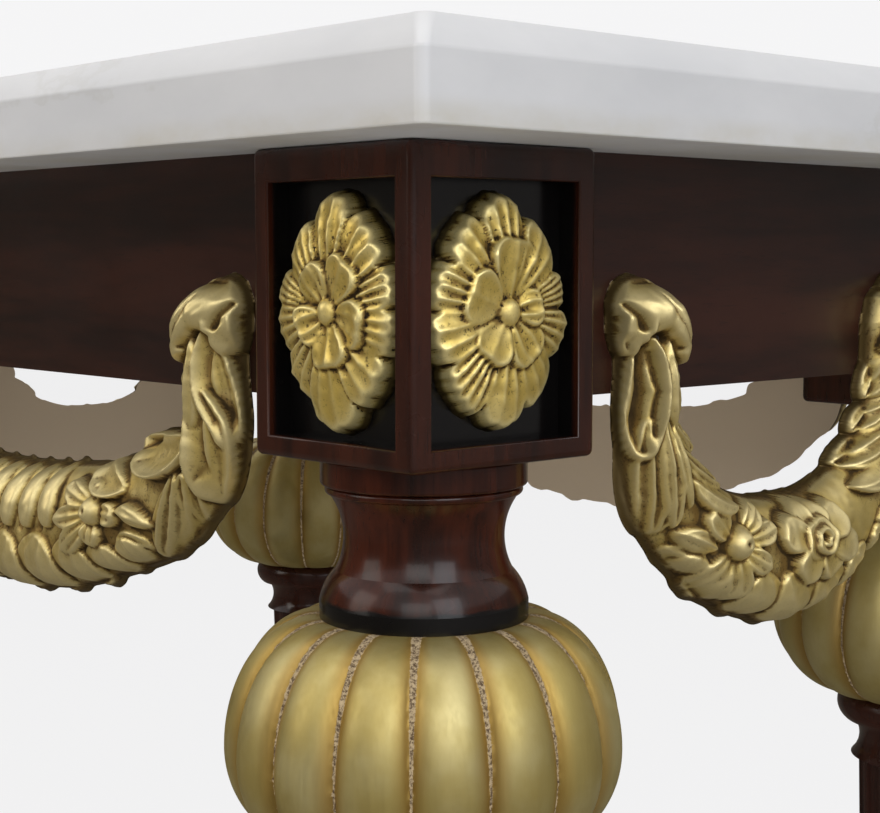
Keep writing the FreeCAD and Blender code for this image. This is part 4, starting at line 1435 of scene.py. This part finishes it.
front_swag = make_front_swag()
side_swag = make_side_swag()
side_swag.transform(Matrix.Rotation(math.radians(90), 4, "Z"))
for name, mesh in (
    ("swag_front", front_swag),
    ("swag_back", turned_copy(front_swag, 180, "swag_back")),
    ("swag_right", side_swag),
    ("swag_left", turned_copy(side_swag, 180, "swag_left")),
):
    place_piece(name, mesh, swag_gilt)
    print(name, len(mesh.polygons), "faces")

# %% [markdown]
# ## Stage
# The table stands on a plain pale floor in a white studio. Camera and mirror rays see the same white
# backdrop, while the light on the object comes from a soft overhead panel and three panels round the front.
# Dark cloth round the studio and on its floor, seen only in reflections, gives the gold and the polish
# their contrast.

# %% Floor, backdrop and dark cloth
BACKDROP = (0.917, 0.915, 0.921, 1.0)
FLOOR_GREY = (0.82, 0.82, 0.825, 1.0)
CLOTH_DARK = (0.17, 0.152, 0.13, 1.0)
CLOTH_GREY = (0.46, 0.44, 0.43, 1.0)
STUDIO_WHITE = (1.0, 0.99, 0.97)
STUDIO_LIGHT = 0.42
CLOTH_RADIUS, CLOTH_HEIGHT, CLOTH_SIDES = 3.0, 1.6, 64


def seen_share(tree):
    """1 for rays that look at the backdrop, straight or in a mirror or glass."""
    path = add(tree, "ShaderNodeLightPath").outputs
    seen = calc(tree, "MAXIMUM", path["Is Camera Ray"], path["Is Glossy Ray"])
    return calc(tree, "MAXIMUM", seen, path["Is Transmission Ray"])


def make_world():
    """Even light on the object and a white backdrop for the rays that see it."""
    world = bpy.data.worlds.new("white_studio")
    bpy.context.scene.world = world
    world.use_nodes = True
    tree = world.node_tree
    tree.nodes.clear()
    light = add(tree, "ShaderNodeBackground", {"Color": (*STUDIO_WHITE, 1.0), "Strength": STUDIO_LIGHT})
    backdrop = add(tree, "ShaderNodeBackground", {"Color": BACKDROP, "Strength": 1.0})
    seen = seen_share(tree)
    mixed = add(tree, "ShaderNodeMixShader", {0: seen, 1: light.outputs[0], 2: backdrop.outputs[0]})
    add(tree, "ShaderNodeOutputWorld", {"Surface": mixed.outputs[0]})


def make_floor():
    """A pale floor that keeps the table's shadow."""
    shape = bmesh.new()
    bmesh.ops.create_grid(shape, x_segments=1, y_segments=1, size=8.0)
    floor = bpy.data.objects.new("floor", to_mesh(shape, "floor"))
    bpy.context.scene.collection.objects.link(floor)
    material = bpy.data.materials.new("pale_floor")
    material.use_nodes = True
    tree = material.node_tree
    tree.nodes.clear()
    matt = add(tree, "ShaderNodeBsdfDiffuse", {"Color": FLOOR_GREY})
    glow = add(tree, "ShaderNodeEmission", {"Color": BACKDROP, "Strength": 1.0})
    share = calc(tree, "MULTIPLY", seen_share(tree), 0.9)
    mixed = add(tree, "ShaderNodeMixShader", {0: share, 1: matt.outputs[0], 2: glow.outputs[0]})
    add(tree, "ShaderNodeOutputMaterial", {"Surface": mixed.outputs[0]})
    floor.data.materials.append(material)


def make_dark_cloth():
    """A wall of dark cloth at table height and a dark rug, which only reflections see."""
    shape = bmesh.new()
    bmesh.ops.create_cone(
        shape, cap_ends=False, segments=CLOTH_SIDES,
        radius1=CLOTH_RADIUS, radius2=CLOTH_RADIUS, depth=CLOTH_HEIGHT,
    )
    bmesh.ops.translate(shape, vec=(0.0, 0.0, CLOTH_HEIGHT / 2), verts=shape.verts)
    bmesh.ops.create_circle(shape, cap_ends=True, segments=CLOTH_SIDES, radius=CLOTH_RADIUS)
    bmesh.ops.translate(shape, vec=(0.0, 0.0, 2 * MM), verts=shape.verts)
    cloth = bpy.data.objects.new("dark_cloth", merged_mesh(shape, "dark_cloth"))
    bpy.context.scene.collection.objects.link(cloth)
    material, tree, shader = new_material("dark_cloth")
    to_right = ease(tree, axis_places(tree)[0], 0.6, 2.6)
    grey = blend(tree, to_right, CLOTH_DARK, CLOTH_GREY)
    fill(tree, shader, {"Base Color": grey, "Roughness": 0.9, "Specular IOR Level": 0.1})
    cloth.data.materials.append(material)
    cloth.visible_camera = False
    cloth.visible_diffuse = False
    cloth.visible_shadow = False
    cloth.visible_transmission = False


make_world()
make_floor()
make_dark_cloth()
print("floor, backdrop and dark cloth ready")

# %% Light
TABLE_MIDDLE = Vector((0.0, 0.0, 0.48))
COOL_WHITE = (0.91, 0.95, 1.0)
WARM_WHITE = (1.0, 0.95, 0.87)
# Each panel has a name, a place, a width and height, a power in watts and a colour.
PANELS = (
    ("overhead", (0.2, -0.3, 2.6), (2.2, 2.2), 22.0, STUDIO_WHITE),
    ("right_panel", (2.3, -0.6, 1.6), (1.2, 1.4), 18.5, COOL_WHITE),
    ("left_panel", (-0.9, -2.2, 1.5), (1.2, 1.4), 11.0, WARM_WHITE),
    ("front_panel", (1.7, -1.9, 1.6), (1.4, 1.0), 11.0, STUDIO_WHITE),
)


def make_panel_light(name, place, size, power, colour):
    """A soft square light that looks at the table."""
    data = bpy.data.lights.new(name, "AREA")
    data.shape = "RECTANGLE"
    data.size, data.size_y = size
    data.energy = power
    data.color = colour
    lamp = bpy.data.objects.new(name, data)
    lamp.location = place
    lamp.rotation_euler = (TABLE_MIDDLE - Vector(place)).to_track_quat("-Z", "Y").to_euler()
    lamp.visible_camera = False
    bpy.context.scene.collection.objects.link(lamp)


for settings in PANELS:
    make_panel_light(*settings)
print(len(PANELS), "light panels")
